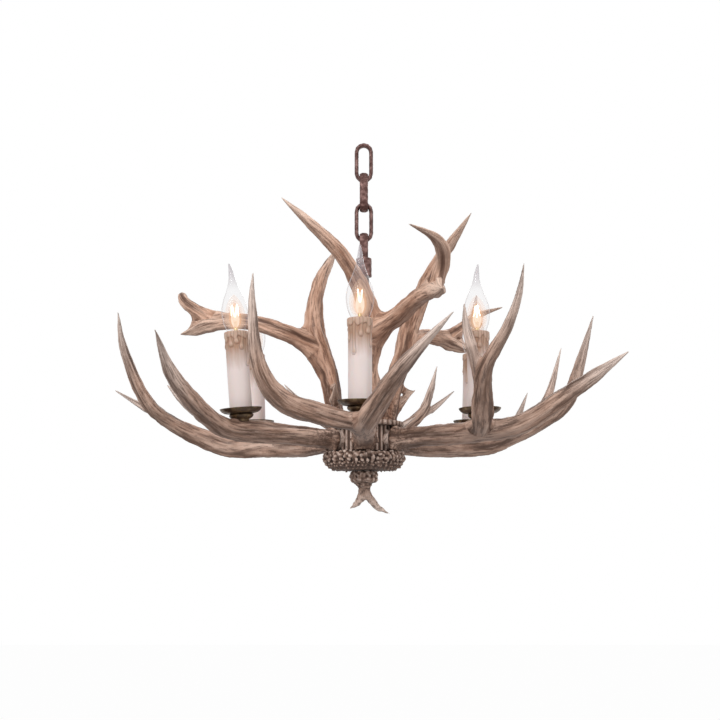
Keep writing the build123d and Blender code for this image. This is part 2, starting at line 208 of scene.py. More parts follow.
class Shader:
    """A material under construction: a principled surface and short ways to add nodes."""

    def __init__(self, name: str) -> None:
        """Start an empty node material.

        Args:
            name: The material's name.
        """
        self.material = bpy.data.materials.new(name)
        self.material.use_nodes = True
        self.tree = self.material.node_tree
        self.tree.nodes.clear()
        output = self.tree.nodes.new("ShaderNodeOutputMaterial")
        self.surface = self.tree.nodes.new("ShaderNodeBsdfPrincipled")
        self.link(self.surface.outputs[0], output.inputs["Surface"])

    def link(self, source: Socket, target: Socket) -> None:
        """Join an output socket to an input socket."""
        self.tree.links.new(source, target)

    def node(self, kind: str, **settings: str | bool) -> bpy.types.Node:
        """Add a node and set its plain properties.

        Args:
            kind: The node's type name, without its ShaderNode prefix.
            settings: Properties to set on the node.

        Returns:
            The new node.
        """
        made = self.tree.nodes.new("ShaderNode" + kind)
        for key, value in settings.items():
            setattr(made, key, value)
        return made

    def attribute(self, name: str, output: str = "Fac") -> Socket:
        """A vertex attribute of the piece, as a number or, by its Vector output, a vector."""
        return self.node("Attribute", attribute_name=name).outputs[output]

    def object_coords(self) -> Socket:
        """The Object output of a Texture Coordinate node."""
        return self.node("TexCoord").outputs["Object"]

    def noise(self, vector: Socket, scale: float, detail: float = 4.0, rough: float = 0.55) -> Socket:
        """A noise value over a vector socket.

        Args:
            vector: The socket to read the position from.
            scale: Noise scale.
            detail: Number of octaves.
            rough: Roughness of the octaves.

        Returns:
            The noise node's value socket.
        """
        made = self.node("TexNoise")
        made.inputs["Scale"].default_value = scale
        made.inputs["Detail"].default_value = detail
        made.inputs["Roughness"].default_value = rough
        self.link(vector, made.inputs["Vector"])
        return made.outputs[0]

    def ramp(self, value: Socket, stops: list[tuple[float, Colour]]) -> Socket:
        """A colour ramp over a value.

        Args:
            value: The socket to read.
            stops: Places and colours, in order.

        Returns:
            The ramp's colour socket.
        """
        made = self.node("ValToRGB")
        elements = made.color_ramp.elements
        while len(elements) < len(stops):
            elements.new(0.5)
        for element, (place, colour) in zip(elements, stops):
            element.position = place
            element.color = (*colour, 1.0)
        self.link(value, made.inputs["Fac"])
        return made.outputs[0]

    def fade(self, value: Socket, low: float, high: float, start: float = 0.0,
             end: float = 1.0) -> Socket:
        """Map a value from one range to another, clamped.

        Args:
            value: The socket to read.
            low: Input that gives start.
            high: Input that gives end.
            start: First output.
            end: Last output.

        Returns:
            The mapped value socket.
        """
        made = self.node("MapRange", clamp=True)
        ends = {"From Min": low, "From Max": high, "To Min": start, "To Max": end}
        for key, number in ends.items():
            made.inputs[key].default_value = number
        self.link(value, made.inputs["Value"])
        return made.outputs[0]

    def mix(self, factor: Socket | float, first: Socket | Colour, second: Socket | Colour) -> Socket:
        """Mix two colours.

        Args:
            factor: A socket or a number.
            first: A socket or a colour.
            second: A socket or a colour.

        Returns:
            The mixed colour socket.
        """
        made = self.node("Mix", data_type="RGBA")
        factor_at, first_at, second_at, mixed_at = 0, 6, 7, 2
        feed(self.tree, made.inputs[factor_at], factor)
        feed(self.tree, made.inputs[first_at], first)
        feed(self.tree, made.inputs[second_at], second)
        return made.outputs[mixed_at]

    def under(self, most: float) -> Socket:
        """How far a surface faces down, as a factor for painted shade under the beams.

        It reads the direction in the room, so the painted shade shifts a little in a swung pose.

        Args:
            most: The factor where it faces straight down.

        Returns:
            The factor socket.
        """
        split = self.node("SeparateXYZ")
        self.link(self.node("NewGeometry").outputs["Normal"], split.inputs[0])
        return self.fade(split.outputs["Z"], -0.05, -1.0, 0.0, most)

    def sum(self, first: Socket, second: Socket) -> Socket:
        """The sum of two value sockets."""
        return calculated(self.tree, "ADD", first, second)

    def bump(self, height: Socket, strength: float, distance: float) -> None:
        """Feed a height to the surface's normal.

        Args:
            height: The height socket.
            strength: Bump strength.
            distance: Bump distance, in metres.
        """
        made = self.node("Bump")
        made.inputs["Strength"].default_value = strength
        made.inputs["Distance"].default_value = distance
        self.link(height, made.inputs["Height"])
        self.link(made.outputs[0], self.surface.inputs["Normal"])

    def put(self, name: str, value: Value) -> None:
        """Set one of the surface's inputs from a socket, a colour or a number."""
        feed(self.tree, self.surface.inputs[name], value)


# ------------------------------------------------------------------ finishes
@dataclass(frozen=True)
class AntlerFinish:
    """Cast antler: long grain, pale at the tips, with painted shade in its grooves and under the beams and
    a painted highlight on its ridges.
    """

    name: str = "antler"
    # dark grain tone, also used as painted shade in the grooves and under the beams
    dark_grain_and_shade: Colour = (0.070, 0.037, 0.025)
    brown: Colour = (0.245, 0.142, 0.098)
    tan: Colour = (0.485, 0.310, 0.235)
    # ridge tone of the grain, also used as a painted highlight on the raised ridges
    ridge_tone_and_highlight: Colour = (0.66, 0.475, 0.385)
    pale: Colour = (0.83, 0.69, 0.62)
    roughness: float = 0.62

    def make(self) -> bpy.types.Material:
        """Build the material.

        Returns:
            The finished material.
        """
        s = Shader(self.name)
        grain = s.attribute("grain", "Vector")
        tip = s.attribute("tip")
        relief = s.attribute("relief")
        patches = s.noise(s.object_coords(), 22.0, 3.0)
        streak = s.noise(grain, 120.0, 6.0, 0.66)
        fine = s.noise(grain, 420.0, 5.0, 0.65)
        body = s.ramp(streak, [(0.32, self.brown), (0.50, self.tan), (0.66, self.ridge_tone_and_highlight)])
        body = s.mix(s.fade(patches, 0.46, 0.68, 0.0, 0.65), body, self.brown)
        # painted highlight: lighter on the ridges that the grain relief raises
        body = s.mix(s.fade(relief, 0.50, 0.66, 0.0, 0.55), body, self.ridge_tone_and_highlight)
        whitened = s.mix(s.fade(tip, 0.25, 0.90), body, self.pale)
        stained = s.mix(s.fade(streak, 0.50, 0.34, 0.0, 0.62), whitened, self.brown)
        # painted shade: darker in the grooves that the grain relief presses in
        stained = s.mix(s.fade(relief, 0.49, 0.34, 0.0, 0.92), stained, self.dark_grain_and_shade)
        stained = s.mix(s.fade(fine, 0.54, 0.66, 0.0, 0.45), stained, self.ridge_tone_and_highlight)
        stained = s.mix(s.fade(fine, 0.50, 0.39, 0.0, 0.7), stained, self.dark_grain_and_shade)
        rooted = s.fade(s.attribute("foot"), 0.0, 0.8, 0.0, 0.85)
        pores = s.noise(s.object_coords(), 210.0, 4.0, 0.7)
        crusted = s.mix(s.fade(pores, 0.56, 0.42), stained, self.dark_grain_and_shade)
        stained = s.mix(rooted, stained, crusted)
        # painted shade under the beams: darker where the surface faces down
        s.put("Base Color", s.mix(s.under(0.62), stained, self.dark_grain_and_shade))
        s.put("Roughness", s.fade(streak, 0.3, 0.7, self.roughness + 0.12, self.roughness - 0.08))
        s.put("Specular IOR Level", 0.35)
        s.bump(s.sum(fine, streak), 0.55, 0.0008)
        return s.material


@dataclass(frozen=True)
class KnobbedFinish:
    """The burr and the flutes: the same casting, with painted shade between its knobs and a painted
    highlight on them.
    """

    name: str = "burr"
    # darkest tone: painted shade in the hollows and under the burr, and the dark speckle
    low: Colour = (0.040, 0.022, 0.016)
    middle: Colour = (0.20, 0.125, 0.094)
    high: Colour = (0.40, 0.275, 0.22)
    # palest tone: a painted highlight on the knobs, and the finial's real pale tips
    pale_tip_and_highlight: Colour = (0.72, 0.575, 0.50)

    def make(self) -> bpy.types.Material:
        """Build the material.

        Returns:
            The finished material.
        """
        s = Shader(self.name)
        height = s.attribute("relief")
        speckle = s.noise(s.object_coords(), 260.0, 5.0, 0.65)
        # stored relief: painted shade in the hollows, painted highlight on the knobs
        stops = [(0.16, self.low), (0.46, self.middle), (0.68, self.high), (0.97, self.pale_tip_and_highlight)]
        base = s.ramp(height, stops)
        base = s.mix(s.fade(speckle, 0.50, 0.40, 0.0, 0.6), base, self.low)
        # painted shade: darker where the surface faces down
        s.put("Base Color", s.mix(s.under(0.55), base, self.low))
        s.put("Roughness", 0.7)
        s.put("Specular IOR Level", 0.3)
        s.bump(speckle, 0.6, 0.0007)
        return s.material


@dataclass(frozen=True)
class MetalFinish:
    """A toned metal, mottled, a little brighter where it is rubbed."""

    name: str
    base: Colour
    worn: Colour
    metallic: float
    roughness: float
    dents: float = 0.0004

    def make(self) -> bpy.types.Material:
        """Build the material.

        Returns:
            The finished material.
        """
        s = Shader(self.name)
        place = s.object_coords()
        mottle = s.noise(place, 160.0, 5.0)
        hammer = s.noise(place, 300.0, 1.0)
        s.put("Base Color", s.mix(s.fade(mottle, 0.44, 0.66), self.base, self.worn))
        s.put("Roughness", s.fade(mottle, 0.35, 0.7, self.roughness + 0.1, self.roughness - 0.1))
        s.put("Metallic", self.metallic)
        s.bump(hammer, 0.5, self.dents)
        return s.material


@dataclass(frozen=True)
class WaxFinish:
    """The candle sleeve: cream wax, stained tan from the rim down, paler on its runs, with painted shade in
    the creases round the runs and under the collar.
    """

    name: str = "wax"
    cream: Colour = (0.74, 0.635, 0.61)
    tan: Colour = (0.38, 0.225, 0.150)
    run: Colour = (0.54, 0.375, 0.29)
    # painted shade in the creases round the runs and under the collar
    painted_crease_shade: Colour = (0.20, 0.105, 0.065)
    waviness: float = 0.8

    def make(self) -> bpy.types.Material:
        """Build the material.

        Returns:
            The finished material.
        """
        s = Shader(self.name)
        stain = s.attribute("stain")
        relief = s.attribute("relief")
        streak = s.noise(s.attribute("grain", "Vector"), 150.0, 5.0, 0.6)
        wavy = calculated(s.tree, "MULTIPLY_ADD", streak, self.waviness, stain)
        base = s.mix(s.fade(wavy, 0.45, 1.15), self.cream, self.tan)
        base = s.mix(s.fade(relief, 0.30, 0.75, 0.0, 0.8), base, self.run)
        # painted shade in the creases
        crease = s.fade(s.attribute("crease"), 0.1, 0.9, 0.0, 0.6)
        s.put("Base Color", s.mix(crease, base, self.painted_crease_shade))
        s.put("Roughness", 0.48)
        s.put("Subsurface Weight", 0.10)
        s.put("Subsurface Scale", 0.003)
        s.bump(streak, 0.25, 0.0005)
        return s.material


@dataclass(frozen=True)
class PlainFinish:
    """A moulded or turned surface with faint mottling."""

    name: str
    base: Colour
    roughness: float
    mottle_depth: float = 0.72

    def make(self) -> bpy.types.Material:
        """Build the material.

        Returns:
            The finished material.
        """
        s = Shader(self.name)
        mottle = s.noise(s.object_coords(), 90.0, 3.0)
        darker = tuple(channel * self.mottle_depth for channel in self.base)
        s.put("Base Color", s.mix(s.fade(mottle, 0.4, 0.7, 0.0, 0.6), self.base, darker))
        s.put("Roughness", self.roughness)
        s.bump(mottle, 0.2, 0.0003)
        return s.material


@dataclass(frozen=True)
class GlassFinish:
    """Thin clear lamp glass, hardly there face on and milky where it turns away."""

    name: str = "glass"
    tint: Colour = (0.54, 0.50, 0.53)
    face: float = 0.09
    edge: float = 0.72
    drawn: float = 0.42

    def make(self) -> bpy.types.Material:
        """Build the material.

        Returns:
            The finished material.
        """
        s = Shader(self.name)
        s.put("Base Color", self.tint)
        s.put("Roughness", 0.06)
        facing = s.node("LayerWeight")
        facing.inputs["Blend"].default_value = 0.4
        film = s.fade(facing.outputs["Facing"], 0.45, 0.95, self.face, self.edge)
        thickened = s.fade(s.attribute("tip"), 0.0, 1.0, 0.0, self.drawn)
        s.put("Alpha", s.sum(film, thickened))
        return s.material


@dataclass(frozen=True)
class GlowShell:
    """One soft layer of the light about a lit filament."""

    name: str
    colour: Colour
    strength: float
    alpha: float

    def make(self) -> bpy.types.Material:
        """Build the material: a thin warm veil that lights what is seen through it.

        Returns:
            The finished material.
        """
        s = Shader(self.name)
        s.put("Base Color", (0.0, 0.0, 0.0))
        s.put("Roughness", 1.0)
        s.put("Specular IOR Level", 0.0)
        s.put("Emission Color", self.colour)
        s.put("Emission Strength", self.strength)
        s.put("Alpha", self.alpha)
        return s.material


@dataclass(frozen=True)
class GlowFinish:
    """A lit filament, warm, with patches of a second warm colour."""

    name: str
    colour: Colour
    strength: float
    patch: Colour = (1.0, 0.85, 0.62)

    def make(self) -> bpy.types.Material:
        """Build the material, uneven along its length as a hot wire is.

        Returns:
            The finished material.
        """
        s = Shader(self.name)
        s.put("Base Color", self.colour)
        uneven = s.noise(s.object_coords(), 300.0, 2.0)
        s.put("Emission Color", s.ramp(uneven, [(0.3, self.colour), (0.7, self.patch)]))
        s.put("Emission Strength", self.strength)
        return s.material


# ------------------------------------------------------------------ mesh helpers
def add_object(name: str, data: bpy.types.ID) -> bpy.types.Object:
    """Make an object of some data and put it in the scene.

    Args:
        name: The object's name.
        data: The mesh, curve, lamp or camera that it shows.

    Returns:
        The linked object.
    """
    made = bpy.data.objects.new(name, data)
    bpy.context.scene.collection.objects.link(made)
    return made


def make_mesh(name: str, verts: np.ndarray, faces: list) -> bpy.types.Object:
    """Make a mesh object with smooth shading.

    Args:
        name: The object's name.
        verts: Vertex places in metres.
        faces: Vertex indices of each face.

    Returns:
        The linked object.
    """
    mesh = bpy.data.meshes.new(name)
    mesh.from_pydata(np.asarray(verts, float).tolist(), [], faces)
    mesh.update()
    mesh.shade_smooth()
    return add_object(name, mesh)


def grid_faces(rows: int, columns: int) -> list[tuple[int, ...]]:
    """Quads of a tube: rows of vertices that close on themselves.

    Args:
        rows: Number of rings.
        columns: Vertices in each ring.

    Returns:
        The quads, facing outward for rings that run anticlockwise and upward.
    """
    quads = []
    for row in range(rows - 1):
        for column in range(columns):
            a = row * columns + column
            b = row * columns + (column + 1) % columns
            quads.append((a, b, b + columns, a + columns))
    return quads


def loop_faces(rows: int, columns: int) -> list[tuple[int, ...]]:
    """Quads of a tube whose last ring joins its first, as on a turned piece.

    Args:
        rows: Number of rings.
        columns: Vertices in each ring.

    Returns:
        The quads.
    """
    last = (rows - 1) * columns
    closing = [(last + k, last + (k + 1) % columns, (k + 1) % columns, k) for k in range(columns)]
    return grid_faces(rows, columns) + closing


def capped_faces(rows: int, columns: int) -> list[tuple[int, ...]]:
    """Faces of a tube with one face over each end.

    Args:
        rows: Number of rings.
        columns: Vertices in each ring.

    Returns:
        The quads, then the first and the last cap.
    """
    first = tuple(range(columns))[::-1]
    last = tuple((rows - 1) * columns + k for k in range(columns))
    return grid_faces(rows, columns) + [first, last]


def full_turn(around: int) -> np.ndarray:
    """Even angles once round, in radians."""
    return np.arange(around) * 2 * math.pi / around


def turned(outline: Outline, around: int) -> np.ndarray:
    """Vertices of a turned surface, ring after ring.

    Args:
        outline: Radius and height of each ring.
        around: Vertices in each ring.

    Returns:
        One row for each vertex.
    """
    return np.array([(r * math.cos(a), r * math.sin(a), z) for r, z in outline for a in full_turn(around)])


def smooth_line(knots: np.ndarray, least: int, spacing: float = math.inf) -> np.ndarray:
    """A smooth line through points, with each stretch cut into even steps.

    Args:
        knots: One row for each point, its place first.
        least: The fewest steps of a stretch.
        spacing: Rough distance between the line's points, where that takes more steps.

    Returns:
        The line, with rows of the same kind.
    """
    ends = np.vstack([2 * knots[0] - knots[1], knots, 2 * knots[-1] - knots[-2]])
    line = []
    for a, b, c, d in zip(ends, ends[1:], ends[2:], ends[3:]):
        count = max(least, int(np.linalg.norm(c[:3] - b[:3]) / spacing))
        for t in np.arange(count)[:, None] / count:
            line.append(0.5 * (2 * b + (c - a) * t + (2 * a - 5 * b + 4 * c - d) * t ** 2
                               + (3 * b - a - 3 * c + d) * t ** 3))
    return np.array([*line, knots[-1]])


def evaluated_mesh(piece: bpy.types.Object) -> bpy.types.Mesh:
    """A new plain mesh of a piece as its modifiers, or its curve, make it."""
    graph = bpy.context.evaluated_depsgraph_get()
    return bpy.data.meshes.new_from_object(piece.evaluated_get(graph), depsgraph=graph)


def flatten(piece: bpy.types.Object) -> bpy.types.Object:
    """Apply every modifier by reading the evaluated mesh back as a plain one.

    Args:
        piece: The mesh object.

    Returns:
        The same object.
    """
    mesh = evaluated_mesh(piece)
    old = piece.data
    piece.modifiers.clear()
    piece.data = mesh
    if old.users == 0:
        bpy.data.meshes.remove(old)
    return piece


def run_tree(piece: bpy.types.Object, tree: Tree, material: bpy.types.Material) -> bpy.types.Object:
    """Run a Geometry Nodes tree on a piece and keep the result as a plain mesh.

    Args:
        piece: The mesh object.
        tree: The tree, which takes its own sizes.
        material: The material that it sets.

    Returns:
        The same object.
    """
    live = piece.modifiers.new(tree.name, "NODES")
    live.node_group = tree
    live[next(item.identifier for item in tree.interface.items_tree if item.name == "Material")] = material
    return flatten(piece)


def vertex_vectors(piece: bpy.types.Object, what: str) -> np.ndarray:
    """Read a vector that every vertex of a mesh has.

    Args:
        piece: The mesh object.
        what: The vector's name.

    Returns:
        One row of three for each vertex.
    """
    flat = np.empty(len(piece.data.vertices) * 3)
    piece.data.vertices.foreach_get(what, flat)
    return flat.reshape(-1, 3)


def coords(piece: bpy.types.Object) -> np.ndarray:
    """The piece's vertex places, one row each."""
    return vertex_vectors(piece, "co")


def set_coords(piece: bpy.types.Object, places: np.ndarray) -> None:
    """Write the piece's vertex places back."""
    piece.data.vertices.foreach_set("co", np.ascontiguousarray(places).ravel())
    piece.data.update()


def normals(piece: bpy.types.Object) -> np.ndarray:
    """The piece's vertex normals, one row each."""
    return vertex_vectors(piece, "normal")


def store(piece: bpy.types.Object, name: str, values: np.ndarray) -> None:
    """Store a per-vertex number or vector on the piece, over one of the same name.

    Args:
        piece: The mesh object.
        name: The attribute's name.
        values: One number, or one row of three, for each vertex.
    """
    kind, key = ("FLOAT_VECTOR", "vector") if values.ndim == 2 else ("FLOAT", "value")
    layer = piece.data.attributes.get(name)
    if layer is None:
        layer = piece.data.attributes.new(name, kind, "POINT")
    layer.data.foreach_set(key, np.ascontiguousarray(values, np.float32).ravel())


def load_values(piece: bpy.types.Object, name: str) -> np.ndarray:
    """Read a per-vertex number back from the piece.

    Args:
        piece: The mesh object.
        name: The attribute's name.

    Returns:
        One number for each vertex.
    """
    values = np.empty(len(piece.data.vertices), np.float32)
    piece.data.attributes[name].data.foreach_get("value", values)
    return values


def merged(name: str, *pieces: bpy.types.Object) -> bpy.types.Object:
    """Put several meshes into one object and remove the originals.

    Args:
        name: The new object's name.
        pieces: The objects to join.

    Returns:
        The new object.
    """
    verts, faces, start = [], [], 0
    for piece in pieces:
        places = coords(piece)
        faces += [tuple(start + i for i in polygon.vertices) for polygon in piece.data.polygons]
        verts.append(places)
        start += len(places)
        bpy.data.objects.remove(piece)
    return make_mesh(name, np.vstack(verts), faces)


def fused(piece: bpy.types.Object, voxel: float, smooth: int) -> bpy.types.Object:
    """Rebuild a closed mesh as one even, softened surface.

    Args:
        piece: The mesh object.
        voxel: Size of its new faces.
        smooth: Smoothing steps.

    Returns:
        The same object.
    """
    fuse = piece.modifiers.new("fuse", "REMESH")
    fuse.mode = "VOXEL"
    fuse.voxel_size = voxel
    soften = piece.modifiers.new("soften", "SMOOTH")
    soften.iterations = smooth
    soften.factor = 0.5
    return flatten(piece)


def cavity(piece: bpy.types.Object, steps: int, span: float) -> np.ndarray:
    """How far each vertex stands out of, or lies below, the smoothed surface.

    Args:
        piece: The mesh object.
        steps: Smoothing steps of the comparison surface.
        span: Distance that gives 0 below it or 1 above it.

    Returns:
        A value from 0 to 1 for each vertex.
    """
    edges = np.empty(len(piece.data.edges) * 2, np.int64)
    piece.data.edges.foreach_get("vertices", edges)
    a, b = edges.reshape(-1, 2).T
    places = coords(piece)
    count = np.bincount(np.concatenate([a, b]), minlength=len(places)).clip(1)[:, None]
    soft = places.copy()
    for _ in range(steps):
        total = np.zeros_like(soft)
        np.add.at(total, a, soft[b])
        np.add.at(total, b, soft[a])
        soft = 0.5 * soft + 0.5 * total / count
    stands = ((places - soft) * normals(piece)).sum(1)
    return np.clip(0.5 + 0.5 * stands / span, 0, 1)


def keep_in_box(piece: bpy.types.Object, node: str) -> None:
    """Hold a surface within a CAD node's own box.

    Args:
        piece: The mesh object.
        node: The CAD node.
    """
    low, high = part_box(node)
    set_coords(piece, np.clip(coords(piece), np.array(low), np.array(high)))


def dress(piece: bpy.types.Object, material: bpy.types.Material, body: Body, slot: Slot,
          *nodes: str) -> None:
    """Give a finished piece its material, its body and the nodes that it stands for.

    Args:
        piece: The finished object.
        material: Its material.
        body: The body that it rides on.
        slot: The record's material slot; not used.
        nodes: The CAD nodes that it replaces.
    """
    piece.data.materials.clear()
    piece.data.materials.append(material)
    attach(piece, body)
    if nodes:
        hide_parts(*nodes)
    LOG.info("%s: %d faces", piece.name, len(piece.data.polygons))


@dataclass(frozen=True)
class Grain:
    """Ridges that run along a surface, and pits, raised on it by Geometry Nodes."""

    ridge_depth: float = 0.0050
    ridge_scale: float = 95.0
    pit_depth: float = 0.0034
    pit_scale: float = 55.0
    level: float = 0.55

    def height(self, tree: Tree, source: bpy.types.Node, place: Socket, prefix: str, detail: float
               ) -> tuple[Socket, Socket]:
        """Noise over a vector, and the same as a height above or below the surface.

        Args:
            tree: The node tree.
            source: Its Group Input node.
            place: The vector that the noise reads.
            prefix: What the names of its Scale and Depth inputs start with.
            detail: Octaves of the noise.

        Returns:
            The noise and the height.
        """
        noise = tree.nodes.new("ShaderNodeTexNoise")
        noise.inputs["Detail"].default_value = detail
        tree.links.new(place, noise.inputs["Vector"])
        tree.links.new(source.outputs[prefix + "Scale"], noise.inputs["Scale"])
        centred = calculated(tree, "SUBTRACT", noise.outputs[0], self.level)
        return noise.outputs[0], calculated(tree, "MULTIPLY", centred, source.outputs[prefix + "Depth"])

    def tree(self) -> Tree:
        """Build the tree.

        It reads the vector "grain" and the number "thick", which eases the relief where
        the surface is thin, and stores the ridges' own noise as "relief".

        Returns:
            The node tree.
        """
        tree = geometry_tree("antler_grain", {"Depth": self.ridge_depth, "Scale": self.ridge_scale,
                                              "Pit Depth": self.pit_depth, "Pit Scale": self.pit_scale})
        new, link = tree.nodes.new, tree.links.new
        source = new("NodeGroupInput")
        grain = stored(tree, "grain", "FLOAT_VECTOR")
        ridges, ridge_height = self.height(tree, source, grain, "", 3.0)
        position = new("GeometryNodeInputPosition").outputs[0]
        _, pit_height = self.height(tree, source, position, "Pit ", 2.0)
        total = calculated(tree, "ADD", ridge_height, pit_height)
        eased = calculated(tree, "MULTIPLY", total, stored(tree, "thick", "FLOAT"))
        offset = new("ShaderNodeVectorMath")
        offset.operation = "SCALE"
        link(new("GeometryNodeInputNormal").outputs[0], offset.inputs[0])
        link(eased, offset.inputs["Scale"])
        keep = new("GeometryNodeStoreNamedAttribute")
        keep.data_type = "FLOAT"
        keep.domain = "POINT"
        keep.inputs["Name"].default_value = "relief"
        link(source.outputs["Geometry"], keep.inputs["Geometry"])
        link(ridges, next(i for i in keep.inputs if i.name == "Value" and i.enabled))
        move = new("GeometryNodeSetPosition")
        link(keep.outputs[0], move.inputs["Geometry"])
        link(offset.outputs[0], move.inputs["Offset"])
        end_tree(tree, source, move.outputs[0])
        return tree


# ------------------------------------------------------------------ antlers
@dataclass
class Limb:
    """One branch of an antler: a smooth tapering line in the object's frame."""

    places: np.ndarray
    radii: np.ndarray

    @staticmethod
    def smooth(points: list[BranchPoint], azimuth: float, base: float) -> "Limb":
        """Draw a smooth line through given points.

        Args:
            points: Distance from the axis, sideways offset, height and radius, in mm.
            azimuth: The direction of the branch's antler, in degrees.
            base: Height of the ring's underside, in metres.

        Returns:
            The limb, in metres.
        """
        rows = np.array(points, float)
        turn = math.radians(azimuth)
        x = rows[:, 0] * math.cos(turn) - rows[:, 1] * math.sin(turn)
        y = rows[:, 0] * math.sin(turn) + rows[:, 1] * math.cos(turn)
        knots = np.column_stack([x, y, rows[:, 2], rows[:, 3]])
        line = smooth_line(knots, 3, LIMB_STEP_MM) * MM
        places = line[:, :3] + np.array([0.0, 0.0, base])
        return Limb(places, np.maximum(line[:, 3], THINNEST_TIP))

    def tangents(self) -> np.ndarray:
        """Unit directions along the limb."""
        along = np.gradient(self.places, axis=0)
        return along / np.linalg.norm(along, axis=1)[:, None]

    def frames(self) -> tuple[np.ndarray, np.ndarray]:
        """Two directions square to the limb, carried along it without twist.

        Returns:
            A row of three for each point of the limb, twice.
        """
        along = self.tangents()
        side = np.cross(along[0], (0.0, 0.0, 1.0))
        side /= np.linalg.norm(side)
        sides = [side]
        for direction in along[1:]:
            side = side - direction * np.dot(side, direction)
            side = side / np.linalg.norm(side)
            sides.append(side)
        sides = np.array(sides)
        return sides, np.cross(along, sides)

    def tube(self, around: int, flute: float, seed: int) -> tuple[np.ndarray, list]:
        """A closed tube over the limb, its section drawn in by a few soft long hollows.

        Args:
            around: Vertices in each ring.
            flute: Depth of the hollows, as a share of the radius.
            seed: Which hollows.

        Returns:
            Vertices and faces.
        """
        rng = np.random.default_rng(seed)
        phases, swing = rng.uniform(0, 2 * math.pi, 3), rng.uniform(-0.8, 0.8)
        sides, ups = self.frames()
        angles = full_turn(around)
        travel = np.linspace(0, 1, len(self.places))[:, None]
        turn = angles[None, :] + swing * travel * 2
        shape = (1 + flute * (0.5 * np.cos(3 * turn + phases[0]) + 0.35 * np.cos(5 * turn + phases[1])
                              + 0.3 * np.cos(8 * turn + phases[2] + 4 * travel)))
        radii = self.radii[:, None] * shape
        ring = (self.places[:, None, :]
                + radii[..., None] * (np.cos(angles)[None, :, None] * sides[:, None, :]
                                      + np.sin(angles)[None, :, None] * ups[:, None, :]))
        verts = np.vstack([ring.reshape(-1, 3), self.places[0], self.places[-1]])
        rows = len(self.places)
        faces = [tuple(reversed(quad)) for quad in grid_faces(rows, around)]
        first, last, end_ring = rows * around, rows * around + 1, (rows - 1) * around
        for k in range(around):
            following = (k + 1) % around
            faces.append((first, k, following))
            faces.append((last, end_ring + following, end_ring + k))
        return verts, faces


